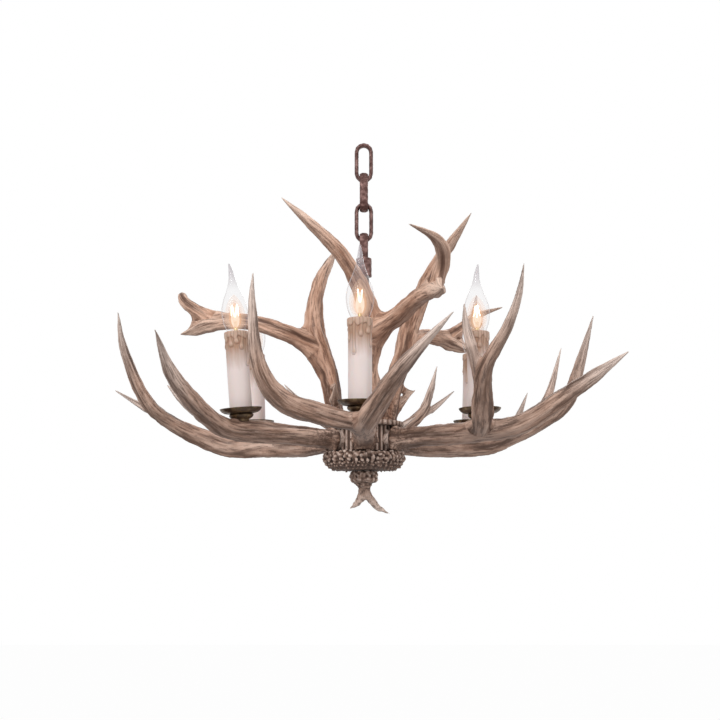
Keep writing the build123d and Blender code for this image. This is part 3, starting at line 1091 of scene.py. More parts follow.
@dataclass
class Antler:
    """One cast antler: its limbs fused into one surface with grain, burr and pale tips.

    The grain's noise is read on a ring of grain_ring round each limb and at grain_stretch
    of the way along it, with a shift for each limb and each antler, so that no two match.
    The relief is full where a limb is full_girth thick, and a tine that starts farther than
    root_gap from every other limb gets no web.
    """

    node: str
    azimuth: float
    branches: list[list[BranchPoint]]
    base: float
    foot: Point
    foot_axis: Point
    seed: int
    voxel: float = 0.0013
    around: int = 40
    flute: float = 0.13
    burr_growth: float = 1.27
    burr_depth: float = 0.010
    grain_ring: float = 0.011
    grain_stretch: float = 0.11
    limb_shift: float = 0.37
    antler_shift: float = 0.731
    pale_length: float = 0.13
    full_girth: float = 0.010
    dark_foot: float = 0.015
    foot_fade: float = 0.04
    root_gap: float = 0.012
    web_reach: float = 0.0125
    web_steps: int = 150
    web_span: float = 0.030
    web_girth: float = 0.86
    web_points: int = 12
    chunk: int = 20000

    def build(self, grain: Tree, material: bpy.types.Material) -> bpy.types.Object:
        """Model the antler.

        Args:
            grain: The tree that raises the grain.
            material: The antler finish.

        Returns:
            The finished object, with its grain, tip and foot attributes.
        """
        limbs = [Limb.smooth(points, self.azimuth, self.base) for points in self.branches]
        shapes = limbs + self.webs(limbs)
        parts = [limb.tube(self.around, self.flute, self.seed * 10 + index)
                 for index, limb in enumerate(shapes)]
        parts.append(self.burr(limbs[0].radii[0]))
        verts, faces, start = [], [], 0
        for part_verts, part_faces in parts:
            verts.append(part_verts)
            faces += [tuple(i + start for i in face) for face in part_faces]
            start += len(part_verts)
        piece = fused(make_mesh(self.node + "_cast", np.vstack(verts), faces), self.voxel, 2)
        near_fork = self.mark(piece, limbs)
        self.web(piece, near_fork)
        run_tree(piece, grain, material)
        keep_in_box(piece, self.node)
        piece.data.shade_smooth()
        return piece

    def webs(self, limbs: list[Limb]) -> list[Limb]:
        """Short limbs that spread each tine's root along the beam, as a web does.

        Args:
            limbs: The antler's limbs, the beam first.

        Returns:
            Two more limbs for each tine that springs from another limb.
        """
        made = []
        span = int(self.web_span / (LIMB_STEP_MM * MM))
        for index, tine in enumerate(limbs[1:], 1):
            gaps = [np.linalg.norm(limb.places - tine.places[0], axis=1) for limb in limbs[:index]]
            parent_at = int(np.argmin([gap.min() for gap in gaps]))
            parent, root = limbs[parent_at], int(gaps[parent_at].argmin())
            if gaps[parent_at].min() > self.root_gap:
                continue
            top = min(len(tine.places) - 2, span)
            for way in (-1, 1):
                end = int(np.clip(root + way * span, 0, len(parent.places) - 1))
                if abs(end - root) < span // 2:
                    continue
                a, b = tine.places[top], parent.places[end]
                bend = 0.45 * parent.places[root] + 0.275 * (a + b)
                t = np.linspace(0, 1, self.web_points)[:, None]
                line = (1 - t) ** 2 * a + 2 * t * (1 - t) * bend + t ** 2 * b
                made.append(Limb(line, np.linspace(tine.radii[top] * self.web_girth,
                                                   parent.radii[end] * self.web_girth, self.web_points)))
        return made

    def web(self, piece: bpy.types.Object, near_fork: np.ndarray) -> None:
        """Fill the forks out to soft webs by smoothing the surface round them alone.

        Args:
            piece: The fused surface.
            near_fork: How near each vertex lies to a fork, from 0 to 1.
        """
        levels = 10
        group = piece.vertex_groups.new(name="forks")
        steps = np.round(near_fork * levels).astype(int)
        for level in range(1, levels + 1):
            group.add(np.nonzero(steps == level)[0].tolist(), level / levels, "REPLACE")
        soften = piece.modifiers.new("web", "SMOOTH")
        soften.vertex_group = group.name
        soften.iterations = self.web_steps
        soften.factor = 0.6
        even = piece.modifiers.new("even", "SMOOTH")
        even.iterations = 3
        even.factor = 0.5
        flatten(piece)

    def burr(self, radius: float) -> tuple[np.ndarray, list]:
        """The knobbed collar at the antler's foot.

        Args:
            radius: The beam's radius there.

        Returns:
            Vertices and faces of a closed, bumpy ring body.
        """
        axis = np.array(self.foot_axis)
        side = np.cross(axis, (0.3, 0.5, 0.8))
        side /= np.linalg.norm(side)
        up = np.cross(axis, side)
        centre = np.array(self.foot)
        rng = np.random.default_rng(self.seed)
        around, rows = 48, 9
        large_knobs, small_knobs = 9, 16
        phase = rng.uniform(0, 2 * math.pi, 2)
        verts = []
        for row in range(rows):
            t = row / (rows - 1)
            swell = math.sin(math.pi * t) ** 0.6 * (self.burr_growth - 1)
            for k in range(around):
                a = 2 * math.pi * k / around
                knob = (0.5 * math.sin(large_knobs * a + phase[0])
                        + 0.35 * math.sin(small_knobs * a + phase[1] + 3 * t))
                r = radius * (1 + swell * (1 + 0.9 * knob))
                out = math.cos(a) * side + math.sin(a) * up
                verts.append(centre + axis * (self.burr_depth * t) + r * out)
        return np.array(verts), capped_faces(rows, around)

    def mark(self, piece: bpy.types.Object, limbs: list[Limb]) -> np.ndarray:
        """Store where each vertex lies along and around its nearest limb.

        Args:
            piece: The fused surface.
            limbs: The limbs that it was made from.

        Returns:
            How near each vertex lies to a fork, from 0 to 1.
        """
        places = coords(piece)
        best = np.full(len(places), np.inf)
        second = np.full(len(places), np.inf)
        grain = np.zeros((len(places), 3))
        tip = np.zeros(len(places))
        thick = np.ones(len(places))
        for index, limb in enumerate(limbs):
            sides, ups = limb.frames()
            travel = np.concatenate([[0], np.cumsum(np.linalg.norm(np.diff(limb.places, axis=0), axis=1))])
            for start in range(0, len(places), self.chunk):
                part = slice(start, start + self.chunk)
                gap = np.linalg.norm(places[part, None, :] - limb.places[None], axis=2)
                skin = gap - limb.radii[None]
                nearest = skin.argmin(1)
                rows = np.arange(len(nearest))
                reach = skin[rows, nearest]
                out = places[part] - limb.places[nearest]
                a = np.arctan2((out * ups[nearest]).sum(1), (out * sides[nearest]).sum(1))
                local = np.column_stack([self.grain_ring * np.cos(a), self.grain_ring * np.sin(a),
                                         self.grain_stretch * travel[nearest] + self.limb_shift * index])
                nearer = reach < best[part]
                second[part] = np.where(nearer, best[part], np.minimum(second[part], reach))
                best[part] = np.where(nearer, reach, best[part])
                grain[part] = np.where(nearer[:, None], local, grain[part])
                pale = np.clip(1 - (travel[-1] - travel[nearest]) / self.pale_length, 0, 1)
                tip[part] = np.where(nearer, pale, tip[part])
                girth = np.clip(limb.radii[nearest] / self.full_girth, 0.12, 1.1)
                thick[part] = np.where(nearer, girth, thick[part])
        store(piece, "grain", grain + self.seed * self.antler_shift)
        store(piece, "tip", tip)
        store(piece, "thick", thick)
        from_foot = np.linalg.norm(places - np.array(self.foot), axis=1)
        store(piece, "foot", np.clip(1 - (from_foot - self.dark_foot) / self.foot_fade, 0, 1))
        return np.exp(-(np.maximum(second - best, 0) / self.web_reach) ** 2) * (tip < 0.6)


@dataclass
class AntlerSet:
    """The six arm antlers and the three upper ones.

    A branch's points give the distance from the hub's axis, the offset sideways, the height
    over the ring's underside and the radius, in mm. The beam comes first, then its tines.
    The upper antlers share their branches, turned, and each has its own brow tine.
    """

    base: float = RING_FOOT
    arm_start: float = 0.0413
    arm_height_mm: float = 38.0
    upper_foot_mm: float = 37.0
    plate_top: float = PLATE_TOP
    brow_foot: Point = (41, 1, 84)
    brow_radius_mm: float = 6.5
    brow_waist: float = 0.7
    brow_sag_mm: float = 2.0
    arm_burr: float = 1.32
    upper_web: float = 0.042
    arms: dict[Arm, list[list[BranchPoint]]] = field(default_factory=lambda: {
        Arm.FRONT: [
            [(41, 0, 38, 13), (90, 0, 41, 12.5), (150, -1, 43, 13.5), (200, 4, 49, 12.5),
             (240, 24, 76, 10.5), (275, 45, 100, 7.5), (312, 86, 140, 1)],
            [(163, 2, 43, 10), (195, -45, 50, 11.5), (212, -88, 66, 11.5), (228, -111, 100, 8.5),
             (240, -117, 160, 4.5), (248, -116, 194, 1)],
        ],
        Arm.FRONT_RIGHT: [
            [(41, 0, 38, 13), (90, 0, 41, 12.5), (150, -1, 43, 13.5), (205, 3, 50, 12),
             (250, 22, 80, 10.5), (285, 45, 108, 7.5), (320, 62, 134, 1)],
            [(155, 2, 43, 10), (172, -28, 54, 12.5), (186, -58, 76, 12.5), (205, -90, 106, 9),
             (235, -106, 140, 6.5), (253, -113, 175, 4), (262, -118, 208, 1)],
            [(188, -64, 82, 9), (191, -95, 122, 7), (185, -98, 150, 4.5), (182, -95, 177, 1)],
        ],
        Arm.BACK_RIGHT: [
            [(41, 0, 38, 13), (90, 0, 34, 13.5), (150, 0, 38, 15.5), (195, 0, 41, 13.5),
             (238, -2, 55, 12), (265, -20, 71, 11), (280, -60, 97, 9.5), (280, -90, 150, 6.5),
             (277, -120, 204, 1)],
            [(255, -10, 64, 8), (292, -8, 110, 6), (317, -10, 181, 1)],
            [(228, 0, 52, 7), (268, 30, 82, 5), (300, 46, 122, 1)],
        ],
        Arm.BACK: [
            [(41, 0, 38, 13), (90, 0, 40, 12), (150, 0, 42, 12.5), (200, 5, 50, 12),
             (240, 40, 75, 10), (270, 85, 105, 7), (290, 122, 147, 1)],
            [(163, 2, 42, 10), (195, -45, 62, 11), (225, -85, 95, 9), (240, -100, 130, 5.5),
             (250, -111, 169, 1)],
            [(212, -68, 80, 7), (245, -105, 105, 5), (260, -138, 133, 1)],
            [(178, -18, 50, 6), (185, -50, 70, 4.5), (190, -76, 87, 1)],
        ],
        Arm.BACK_LEFT: [
            [(41, 0, 38, 13), (90, 0, 33, 13.5), (150, 0, 37, 16), (200, 8, 36, 13.5),
             (235, 30, 50, 12.5), (262, 60, 69, 11), (275, 95, 96, 9), (283, 130, 158, 5.5),
             (278, 150, 204, 1)],
            [(252, 48, 62, 8), (290, 72, 85, 5.5), (331, 94, 112, 1)],
        ],
        Arm.FRONT_LEFT: [
            [(41, 0, 38, 13), (90, 0, 41, 12), (150, 0, 43, 13), (190, 5, 46, 12.5), (222, 20, 60, 12),
             (250, 38, 78, 10), (275, 55, 99, 8), (302, 80, 139, 1)],
            [(205, 10, 54, 9), (228, -15, 72, 6), (247, -33, 96, 1)],
        ],
    })
    uppers: dict[str, tuple[float, Point]] = field(default_factory=lambda: {
        "upper_left": (160, (26, 32, 108)),
        "upper_front": (280, (28, 34, 104)),
        "upper_right": (40, (84, -5, 108))})
    upper_branches: list[list[BranchPoint]] = field(default_factory=lambda: [
        [(37, 0, 61, 12), (47, -4, 115, 12.5), (60, -8, 155, 13), (70, -6, 185, 13),
         (76, -22, 225, 10.5), (78, -45, 260, 9), (80, -80, 292, 6.5), (80, -115, 322, 1)],
        [(60, -8, 158, 11), (101, 22, 178, 11.5), (146, 38, 192, 10), (195, 45, 190, 10),
         (220, 43, 184, 6.5), (242, 40, 181, 1)],
        [(188, 45, 191, 8), (228, 45, 218, 8), (245, 32, 234, 5.5), (262, 0, 243, 1)],
    ])

    def antlers(self) -> list[Antler]:
        """The nine antlers, ready to build.

        Returns:
            The six arms, then the three upper ones.
        """
        made = []
        for seed, arm in enumerate(Arm, 1):
            turn = math.radians(arm.value)
            axis = (math.cos(turn), math.sin(turn), 0.0)
            foot = (axis[0] * self.arm_start, axis[1] * self.arm_start, self.base + self.arm_height_mm * MM)
            made.append(Antler("arm_antler_" + arm.word, arm.value, self.arms[arm], self.base, foot, axis,
                               seed, burr_growth=self.arm_burr))
        for seed, (name, (azimuth, brow_tip)) in enumerate(self.uppers.items(), 11):
            turn = math.radians(azimuth)
            reach = self.upper_foot_mm * MM
            foot = (reach * math.cos(turn), reach * math.sin(turn), self.base + self.plate_top)
            middle = tuple((a + b) / 2 for a, b in zip(self.brow_foot, brow_tip))
            brow = [(*self.brow_foot, self.brow_radius_mm),
                    (*middle[:2], middle[2] - self.brow_sag_mm, self.brow_radius_mm * self.brow_waist),
                    (*brow_tip, 1)]
            made.append(Antler("antler_" + name, azimuth, self.upper_branches + [brow], self.base, foot,
                               (0.0, 0.0, 1.0), seed, web_span=self.upper_web))
        return made

    def build(self, arms: bpy.types.Material, uppers: bpy.types.Material) -> None:
        """Build and dress every antler.

        Args:
            arms: Finish of the six arm antlers.
            uppers: Finish of the three upper ones.
        """
        grain = Grain().tree()
        for antler in self.antlers():
            material = arms if antler.node.startswith("arm_") else uppers
            dress(antler.build(grain, material), material, Body.FIXTURE, Slot.ANTLER, antler.node)


# ------------------------------------------------------------------ hub
@dataclass
class KnobField:
    """Rows of uneven rounded knobs on rings about the axis, spread by Geometry Nodes.

    A row gives the ring's radius and height, the knobs' size and how many there are.
    """

    name: str
    rows: list[tuple[float, float, float, int]]
    seed: int
    stretch: float = 1.5

    def points(self) -> bpy.types.Object:
        """The knobs' places, each with its own three radii.

        Returns:
            A mesh of bare points.
        """
        rng = np.random.default_rng(self.seed)
        places, sizes = [], []
        for index, (radius, height, size, around) in enumerate(self.rows):
            for k in range(around):
                a = 2 * math.pi * (k + 0.5 * (index % 2) + rng.uniform(-0.35, 0.35)) / around
                r = radius + rng.uniform(-0.35, 0.25) * size
                places.append((r * math.cos(a), r * math.sin(a), height + rng.uniform(-0.6, 0.6) * size))
                grown = size * rng.uniform(0.7, 1.2)
                sizes.append((grown, grown * rng.uniform(0.7, 1.1), grown * rng.uniform(0.9, self.stretch)))
        cloud = make_mesh(self.name, np.array(places), [])
        store(cloud, "knob", np.array(sizes))
        return cloud

    def tree(self) -> Tree:
        """The tree that sets a ball on each point.

        Returns:
            The node tree.
        """
        tree = geometry_tree(self.name + "_tree", {"Tilt": 0.5})
        new, link = tree.nodes.new, tree.links.new
        source = new("NodeGroupInput")
        ball = new("GeometryNodeMeshIcoSphere")
        ball.inputs["Radius"].default_value = 1.0
        ball.inputs["Subdivisions"].default_value = 2
        turn = new("FunctionNodeRandomValue")
        turn.data_type = "FLOAT_VECTOR"
        turn.inputs["Seed"].default_value = self.seed
        high, low = new("ShaderNodeCombineXYZ"), new("ShaderNodeVectorMath")
        low.operation = "SCALE"
        low.inputs["Scale"].default_value = -1.0
        for axis in ("X", "Y", "Z"):
            link(source.outputs["Tilt"], high.inputs[axis])
        link(high.outputs[0], low.inputs[0])
        link(low.outputs[0], turn.inputs[0])
        link(high.outputs[0], turn.inputs[1])
        spread = new("GeometryNodeInstanceOnPoints")
        link(source.outputs["Geometry"], spread.inputs["Points"])
        link(ball.outputs[0], spread.inputs["Instance"])
        link(turn.outputs[0], spread.inputs["Rotation"])
        link(stored(tree, "knob", "FLOAT_VECTOR"), spread.inputs["Scale"])
        end_tree(tree, source, spread.outputs[0])
        return tree

    def build(self, material: bpy.types.Material) -> bpy.types.Object:
        """One plain mesh of all the knobs."""
        return run_tree(self.points(), self.tree(), material)


@dataclass
class Hub:
    """The fluted hub body, the knobbed burr ring below it, the plate and the finial."""

    base: float = RING_FOOT
    voxel: float = 0.0007
    ring_height: float = 0.024
    hub_radius: float = 0.0385
    flute_depth: float = 0.0020
    ripple: float = 0.00022
    tips_start: float = 0.022
    plate_radius: float = 0.050
    plate_low: float = 0.055
    plate_top: float = PLATE_TOP
    plate_hole: float = 0.0068
    plate_flutes: int = 40
    plate_flute: float = 0.0009
    plate_rim: float = 0.0013
    plate_play: float = 0.0001

    def from_node(self, node: str, voxel: float, smooth: int) -> bpy.types.Object:
        """A softened copy of a CAD node's surface.

        Args:
            node: The CAD node.
            voxel: Voxel size of the new surface.
            smooth: Smoothing steps.

        Returns:
            The new object.
        """
        mesh = FRAME["nodes"][node].data.copy()
        mesh.name = node + "_skin"
        made = add_object(node + "_skin", mesh)
        weld = made.modifiers.new("weld", "WELD")
        weld.merge_threshold = 0.00002
        return fused(made, voxel, smooth)

    def flutes(self, material: bpy.types.Material) -> None:
        """Dress the fluted body, with painted shade deep in its flutes.

        Args:
            material: The finish of the knobs and flutes.
        """
        body = self.from_node("hub_body", self.voxel, 2)
        places = coords(body)
        radial = np.hypot(places[:, 0], places[:, 1])
        # painted shade: darker deep in each flute
        store(body, "relief", np.clip((radial - (self.hub_radius - self.flute_depth)) / 0.0018, 0.18, 0.92))
        dress(body, material, Body.FIXTURE, Slot.ANTLER, "hub_body")

    def crusted(self, node: str, shrink: float, knobs: KnobField, material: bpy.types.Material
                ) -> bpy.types.Object:
        """A CAD node's softened surface, drawn in a little and crusted with fused knobs.

        Args:
            node: The CAD node.
            shrink: How far the surface is drawn in to leave room for the knobs.
            knobs: The knobs.
            material: Their finish.

        Returns:
            The fused piece, with its relief stored.
        """
        core = self.from_node(node, self.voxel * 1.4, 5)
        set_coords(core, coords(core) - normals(core) * shrink)
        piece = fused(merged(node + "_crust", core, knobs.build(material)), self.voxel, 1)
        places = coords(piece)
        waves = (((900, 500, 300), 0.4), ((-400, 950, 600), 1.9), ((300, -700, 1100), 3.1))
        rough = sum(np.sin(places @ direction + phase) for direction, phase in waves)
        set_coords(piece, places + normals(piece) * (self.ripple * rough)[:, None])
        keep_in_box(piece, node)
        # the cavity, which the burr finish paints as shade in the hollows and a highlight on the knobs
        store(piece, "relief", cavity(piece, 26, 0.0008))
        piece.data.shade_smooth()
        return piece

    def ring(self, material: bpy.types.Material) -> None:
        """Dress the burr ring: a knobbed rim over a rippled bowl.

        Args:
            material: The finish of the knobs and flutes.
        """
        rows = [(0.0475, 0.0210, 0.0028, 46), (0.0498, 0.0168, 0.0028, 44), (0.0492, 0.0126, 0.0021, 54),
                (0.0474, 0.0088, 0.0016, 62), (0.0442, 0.0052, 0.0014, 58), (0.0395, 0.0020, 0.0012, 48)]
        knobs = KnobField("burr_knobs", [(r, self.base + z, size, n) for r, z, size, n in rows], 5)
        piece = self.crusted("burr_ring", 0.0016, knobs, material)
        up = np.clip((coords(piece)[:, 2] - self.base) / self.ring_height, 0, 1)
        # painted shade: darker towards the ring's foot, under its rim
        store(piece, "relief", load_values(piece, "relief") * (0.62 + 0.38 * up ** 0.7))
        dress(piece, material, Body.FIXTURE, Slot.ANTLER, "burr_ring")

    def finial(self, material: bpy.types.Material) -> None:
        """Dress the finial: a crusted knob over two smooth pale tips.

        Args:
            material: The finish of the knobs and flutes.
        """
        rows = [(0.0142, -0.0020, 0.0024, 15), (0.0160, -0.0055, 0.0026, 14), (0.0152, -0.0092, 0.0024, 15),
                (0.0122, -0.0130, 0.0020, 13), (0.0090, -0.0166, 0.0014, 11)]
        knobs = KnobField("finial_knobs", [(r, self.base + z, size, n) for r, z, size, n in rows], 9, 1.25)
        piece = self.crusted("finial", 0.0009, knobs, material)
        x, y, z = coords(piece).T
        pale = np.clip((self.base - self.tips_start - z) / 0.022, 0, 1)
        grain = 0.05 * np.sin(x * 2600 + z * 500) + 0.05 * np.sin(y * 2200)
        relief = load_values(piece, "relief")
        store(piece, "relief", np.where(pale > 0, 0.56 + 0.36 * pale + grain, relief))
        dress(piece, material, Body.FIXTURE, Slot.ANTLER, "finial")

    def plate(self, material: bpy.types.Material) -> None:
        """Build the plate under the upper antlers, its rim fluted like the hub, with painted shade between
        the flutes and a painted highlight on them.

        Args:
            material: The finish of the knobs and flutes.
        """
        around = self.plate_flutes * 8
        angles = full_turn(around)
        flute = self.plate_flute * np.abs(np.sin(self.plate_flutes / 2 * angles))
        low = self.base + self.plate_low + self.plate_play
        top = self.base + self.plate_top - self.plate_play
        rim = self.plate_radius - self.plate_rim
        flat = rim - self.plate_flute
        rings = [(self.plate_hole, low, 0), (flat, low, 1), (rim, low + self.plate_flute, 1),
                 (rim, top - self.plate_flute, 1), (flat, top, 1), (self.plate_hole, top, 0)]
        verts, relief = [], []
        for radius, height, fluted in rings:
            r = radius + fluted * flute
            verts.append(np.column_stack([r * np.cos(angles), r * np.sin(angles), np.full(around, height)]))
            # painted highlight on each flute's crest, painted shade between them
            relief.append(0.32 + 0.56 * fluted * flute / self.plate_flute)
        piece = make_mesh("hub_cap_plate", np.vstack(verts), loop_faces(len(rings), around))
        store(piece, "relief", np.concatenate(relief))
        dress(piece, material, Body.FIXTURE, Slot.PLATE, "upper_antler_plate")

    def build(self, material: bpy.types.Material) -> None:
        """Build and dress the hub's pieces.

        Args:
            material: The finish of the knobs and flutes.
        """
        self.flutes(material)
        self.ring(material)
        self.finial(material)
        self.plate(material)


# ------------------------------------------------------------------ candles
@dataclass
class Candle:
    """One candle lamp: cup, drip pan, dripped sleeve, glass, cap, filament and glow.

    Its own heights start at the cup's foot, on the arm, and it leans outward by lean degrees.
    """

    arm: Arm
    outward_mm: float
    aside_mm: float
    lean: float
    seed: int
    circle: float = 0.166
    seat: float = -0.367
    pan_base: float = 0.0095
    sleeve_base: float = 0.0107
    sleeve_top: float = 0.1067
    cap_top: float = 0.1027
    sleeve_radius: float = 0.01325
    bore: float = 0.0120
    nipple_hole: float = 0.0052
    pan_wall: float = 0.0012
    runs: int = 11
    run_lengths: tuple[float, ...] = (0.008, 0.014, 0.022, 0.032)
    run_shares: tuple[float, ...] = (0.35, 0.3, 0.23, 0.12)
    rim_fade: float = 0.0012
    support_radius: float = 0.00028
    filament_radius: float = 0.00062

    @property
    def name(self) -> str:
        """The word for its arm, as the nodes spell it."""
        return self.arm.word

    @property
    def bulb(self) -> Body:
        """The body of its bulb."""
        return Body("bulb_" + self.name)

    def place(self, local: np.ndarray) -> np.ndarray:
        """Candle coordinates, Z up its leaning axis, to the object's frame.

        Args:
            local: One row of three for each point.

        Returns:
            The same points in the object's frame.
        """
        lean, turn = math.radians(self.lean), math.radians(self.arm.value)
        x = local[:, 0] * math.cos(lean) + local[:, 2] * math.sin(lean) + self.circle + self.outward_mm * MM
        z = -local[:, 0] * math.sin(lean) + local[:, 2] * math.cos(lean) + self.seat
        y = local[:, 1] + self.aside_mm * MM
        return np.column_stack([x * math.cos(turn) - y * math.sin(turn),
                                x * math.sin(turn) + y * math.cos(turn), z])

    def spun(self, name: str, outline: Outline, around: int) -> bpy.types.Object:
        """A turned piece from a closed outline.

        Args:
            name: The object's name.
            outline: Radius and height of its points, anticlockwise.
            around: Steps round the axis.

        Returns:
            The object, in its place.
        """
        return make_mesh(name, self.place(turned(outline, around)), loop_faces(len(outline), around))

    def rounded(self, outline: Outline, bevel: float) -> Outline:
        """Cut each corner of a closed outline twice, as a small round.

        Args:
            outline: The closed outline.
            bevel: How far the round reaches from each corner.

        Returns:
            The outline with three points at each corner.
        """
        out = []
        count = len(outline)
        for k in range(count):
            before, here, after = (np.array(outline[(k + i) % count]) for i in (-1, 0, 1))
            to_before, to_after = before - here, after - here
            reach_a = min(bevel, np.linalg.norm(to_before) * 0.45)
            reach_b = min(bevel, np.linalg.norm(to_after) * 0.45)
            a = here + to_before / np.linalg.norm(to_before) * reach_a
            b = here + to_after / np.linalg.norm(to_after) * reach_b
            out += [tuple(a), tuple(0.25 * a + 0.5 * here + 0.25 * b), tuple(b)]
        return out

    def metalware(self, bronze: bpy.types.Material) -> None:
        """Build the cup and the drip pan.

        Args:
            bronze: Their finish.
        """
        hole, high = self.nipple_hole, self.pan_base
        cup = [(hole, 0.0), (0.009, 0.0), (0.009, high * 0.28), (0.0118, high * 0.42),
               (0.0136, high * 0.58), (0.0145, high * 0.8), (0.0132, high), (hole, high)]
        piece = self.spun("cup_" + self.name, self.rounded(cup, 0.0008), 64)
        dress(piece, bronze, Body.FIXTURE, Slot.BRONZE, "candle_cup_" + self.name)
        low, wall = self.pan_base, self.pan_wall
        pan = [(hole, low), (0.0155, low), (0.0195, low + 0.0008), (0.0226, low + 0.0026),
               (0.0243, low + 0.0047), (0.025, low + 0.0065), (0.0238, low + 0.0065),
               (0.0231, low + 0.005), (0.0216, low + 0.0036), (0.0190, low + 0.0021),
               (0.0155, low + wall), (hole, low + wall)]
        piece = self.spun("pan_" + self.name, self.rounded(pan, 0.0005), 96)
        dress(piece, bronze, Body.FIXTURE, Slot.BRONZE, "drip_pan_" + self.name)

    def drips(self, angles: np.ndarray, heights: np.ndarray) -> tuple[np.ndarray, np.ndarray]:
        """The wax runs over the plain sleeve.

        Args:
            angles: Angle of each surface point.
            heights: Height of each surface point over the sleeve's foot.

        Returns:
            The height of the runs at each point, in metres, and how much painted shade its crease gets.
        """
        rng = np.random.default_rng(self.seed)
        length = self.sleeve_top - self.sleeve_base
        relief, edge = np.zeros_like(angles), np.zeros_like(angles)
        for k in range(self.runs):
            at = 2 * math.pi * (k + rng.uniform(-0.3, 0.3)) / self.runs
            run = rng.choice(self.run_lengths, p=self.run_shares) * rng.uniform(0.85, 1.2)
            wide = rng.uniform(0.0020, 0.0031)
            bend = rng.uniform(-0.0010, 0.0010)
            end = length - 0.006 - run
            across = (np.mod(angles - at + math.pi, 2 * math.pi) - math.pi) * self.sleeve_radius
            across = across - bend * np.sin((length - heights) * 240)
            neck = wide * (0.75 + 0.35 * np.exp(-((heights - end - 0.003) / 0.004) ** 2))
            inside = np.clip(1 - (across / neck) ** 2, 0, 1) ** 0.6
            tail = np.clip((heights - end) / 0.0024, 0, 1) ** 0.5
            bead = 0.0006 * np.exp(-((heights - end - 0.0026) / 0.0035) ** 2)
            relief = np.maximum(relief, (0.0005 + bead) * inside * tail)
            # painted shade in the creases along each run's sides and at its foot
            rim = np.exp(-((np.abs(across) - neck * 1.02) / 0.00055) ** 2) * (heights > end)
            foot = np.exp(-((heights - end + 0.0004) / 0.0007) ** 2) * (np.abs(across) < neck)
            edge = np.maximum(edge, np.maximum(rim, foot))
        scallop = 0.0016 * np.sin(angles * 7 + self.seed) + 0.0009 * np.sin(angles * 12 + 2 * self.seed)
        lip = length - 0.0078 - scallop
        collar = 0.00110 * np.clip((heights - lip) / 0.0013, 0, 1) ** 0.5
        # painted shade in the crease under the collar's lip
        edge = np.maximum(edge, np.exp(-((heights - lip + 0.0005) / 0.0006) ** 2))
        edge = np.clip(edge - relief / 0.0012, 0, 1)
        return np.maximum(relief, collar), edge

    def sleeve(self, wax: bpy.types.Material) -> None:
        """Build the candle sleeve, with wax runs from its rim, open at the top.

        Args:
            wax: Its finish.
        """
        around, rows = 168, 120
        length = self.sleeve_top - self.sleeve_base
        grid_a, grid_h = np.meshgrid(full_turn(around), np.linspace(0, length, rows))
        grid_a, grid_h = grid_a.ravel(), grid_h.ravel()
        relief, edge = self.drips(grid_a, grid_h)
        rim = np.clip((grid_h - length + self.rim_fade) / self.rim_fade, 0, 1)
        wave = 0.00012 * np.sin(grid_a * 3 + grid_h * 60) + 0.0001 * np.sin(grid_a * 5 - grid_h * 35)
        radius = self.sleeve_radius + wave + relief - 0.0010 * rim ** 2
        low, top = self.sleeve_base, self.sleeve_top
        outer = np.column_stack([radius * np.cos(grid_a), radius * np.sin(grid_a), low + grid_h])
        inside = [(self.bore + 0.0002, top), (self.bore, top - 0.002), (self.bore, low)]
        inner = turned(inside, around)
        local = np.vstack([outer, inner])
        piece = make_mesh("sleeve_" + self.name, self.place(local), loop_faces(rows + len(inside), around))
        store(piece, "relief", np.concatenate([np.clip(relief / 0.0011, 0, 1), np.full(len(inner), 0.1)]))
        # the creases' painted shade, and a little inside the bore
        store(piece, "crease", np.concatenate([edge, np.full(len(inner), 0.3)]))
        up = (local[:, 2] - low) / length
        store(piece, "stain", np.clip((up - 0.50) / 0.42, -0.3, 1.0))
        store(piece, "grain", np.column_stack([local[:, 0], local[:, 1], local[:, 2] * 0.14 + self.seed]))
        dress(piece, wax, Body.FIXTURE, Slot.WAX, "candle_sleeve_" + self.name)

    def glass_line(self) -> np.ndarray:
        """Height over the cap, radius and bend of the flame-tip glass, smoothed.

        Returns:
            One row of three for each ring, in metres.
        """
        knots = np.array([(0.3, 7.2, 0), (6, 10.8, 0), (15, 14.2, 0), (28, 15.8, 0), (41, 13.4, 0),
                          (53, 8.6, 0.2), (65, 4.6, 0.8), (76, 2.8, 1.8), (86, 1.0, 3.6)])
        return smooth_line(knots * MM, 5)

    def lamp_glass(self, glass: bpy.types.Material) -> None:
        """Build the flame-tip glass as one closed skin.

        Args:
            glass: Its finish.
        """
        around = 48
        line = self.glass_line()
        skin = turned([(r, self.cap_top + z) for z, r, _ in line], around)
        skin[:, 0] += np.repeat(line[:, 2], around)
        piece = make_mesh("glass_" + self.name, self.place(skin), capped_faces(len(line), around))
        store(piece, "tip", np.repeat(np.clip((line[:, 0] - 0.056) / 0.022, 0, 1), around))
        dress(piece, glass, self.bulb, Slot.GLASS, "bulb_glass_" + self.name)

    def lamp_cap(self, brass: bpy.types.Material) -> None:
        """Build the screw cap and the glass post that holds the filament.

        Args:
            brass: Its finish.
        """
        foot, root, crest, pitch = -0.0200, 0.0063, 0.00695, 0.003
        outline = [(0.0, -0.0255), (0.0024, -0.0255), (0.0048, -0.0225), (0.0066, -0.0205)]
        for k in range(6):
            low = foot + k * pitch
            outline += [(root, low), (crest, low + 0.0009), (crest, low + 0.0014), (root, low + 0.0023)]
        outline += [(0.0068, -0.0008), (0.0068, 0.0), (0.003, 0.0), (0.0022, 0.009), (0.0016, 0.0165),
                    (0.0, 0.017)]
        outline = [(max(r, 0.0002), z + self.cap_top) for r, z in outline]
        cap = self.spun("cap_" + self.name, outline, 40)
        dress(cap, brass, self.bulb, Slot.BRASS, "bulb_cap_" + self.name)

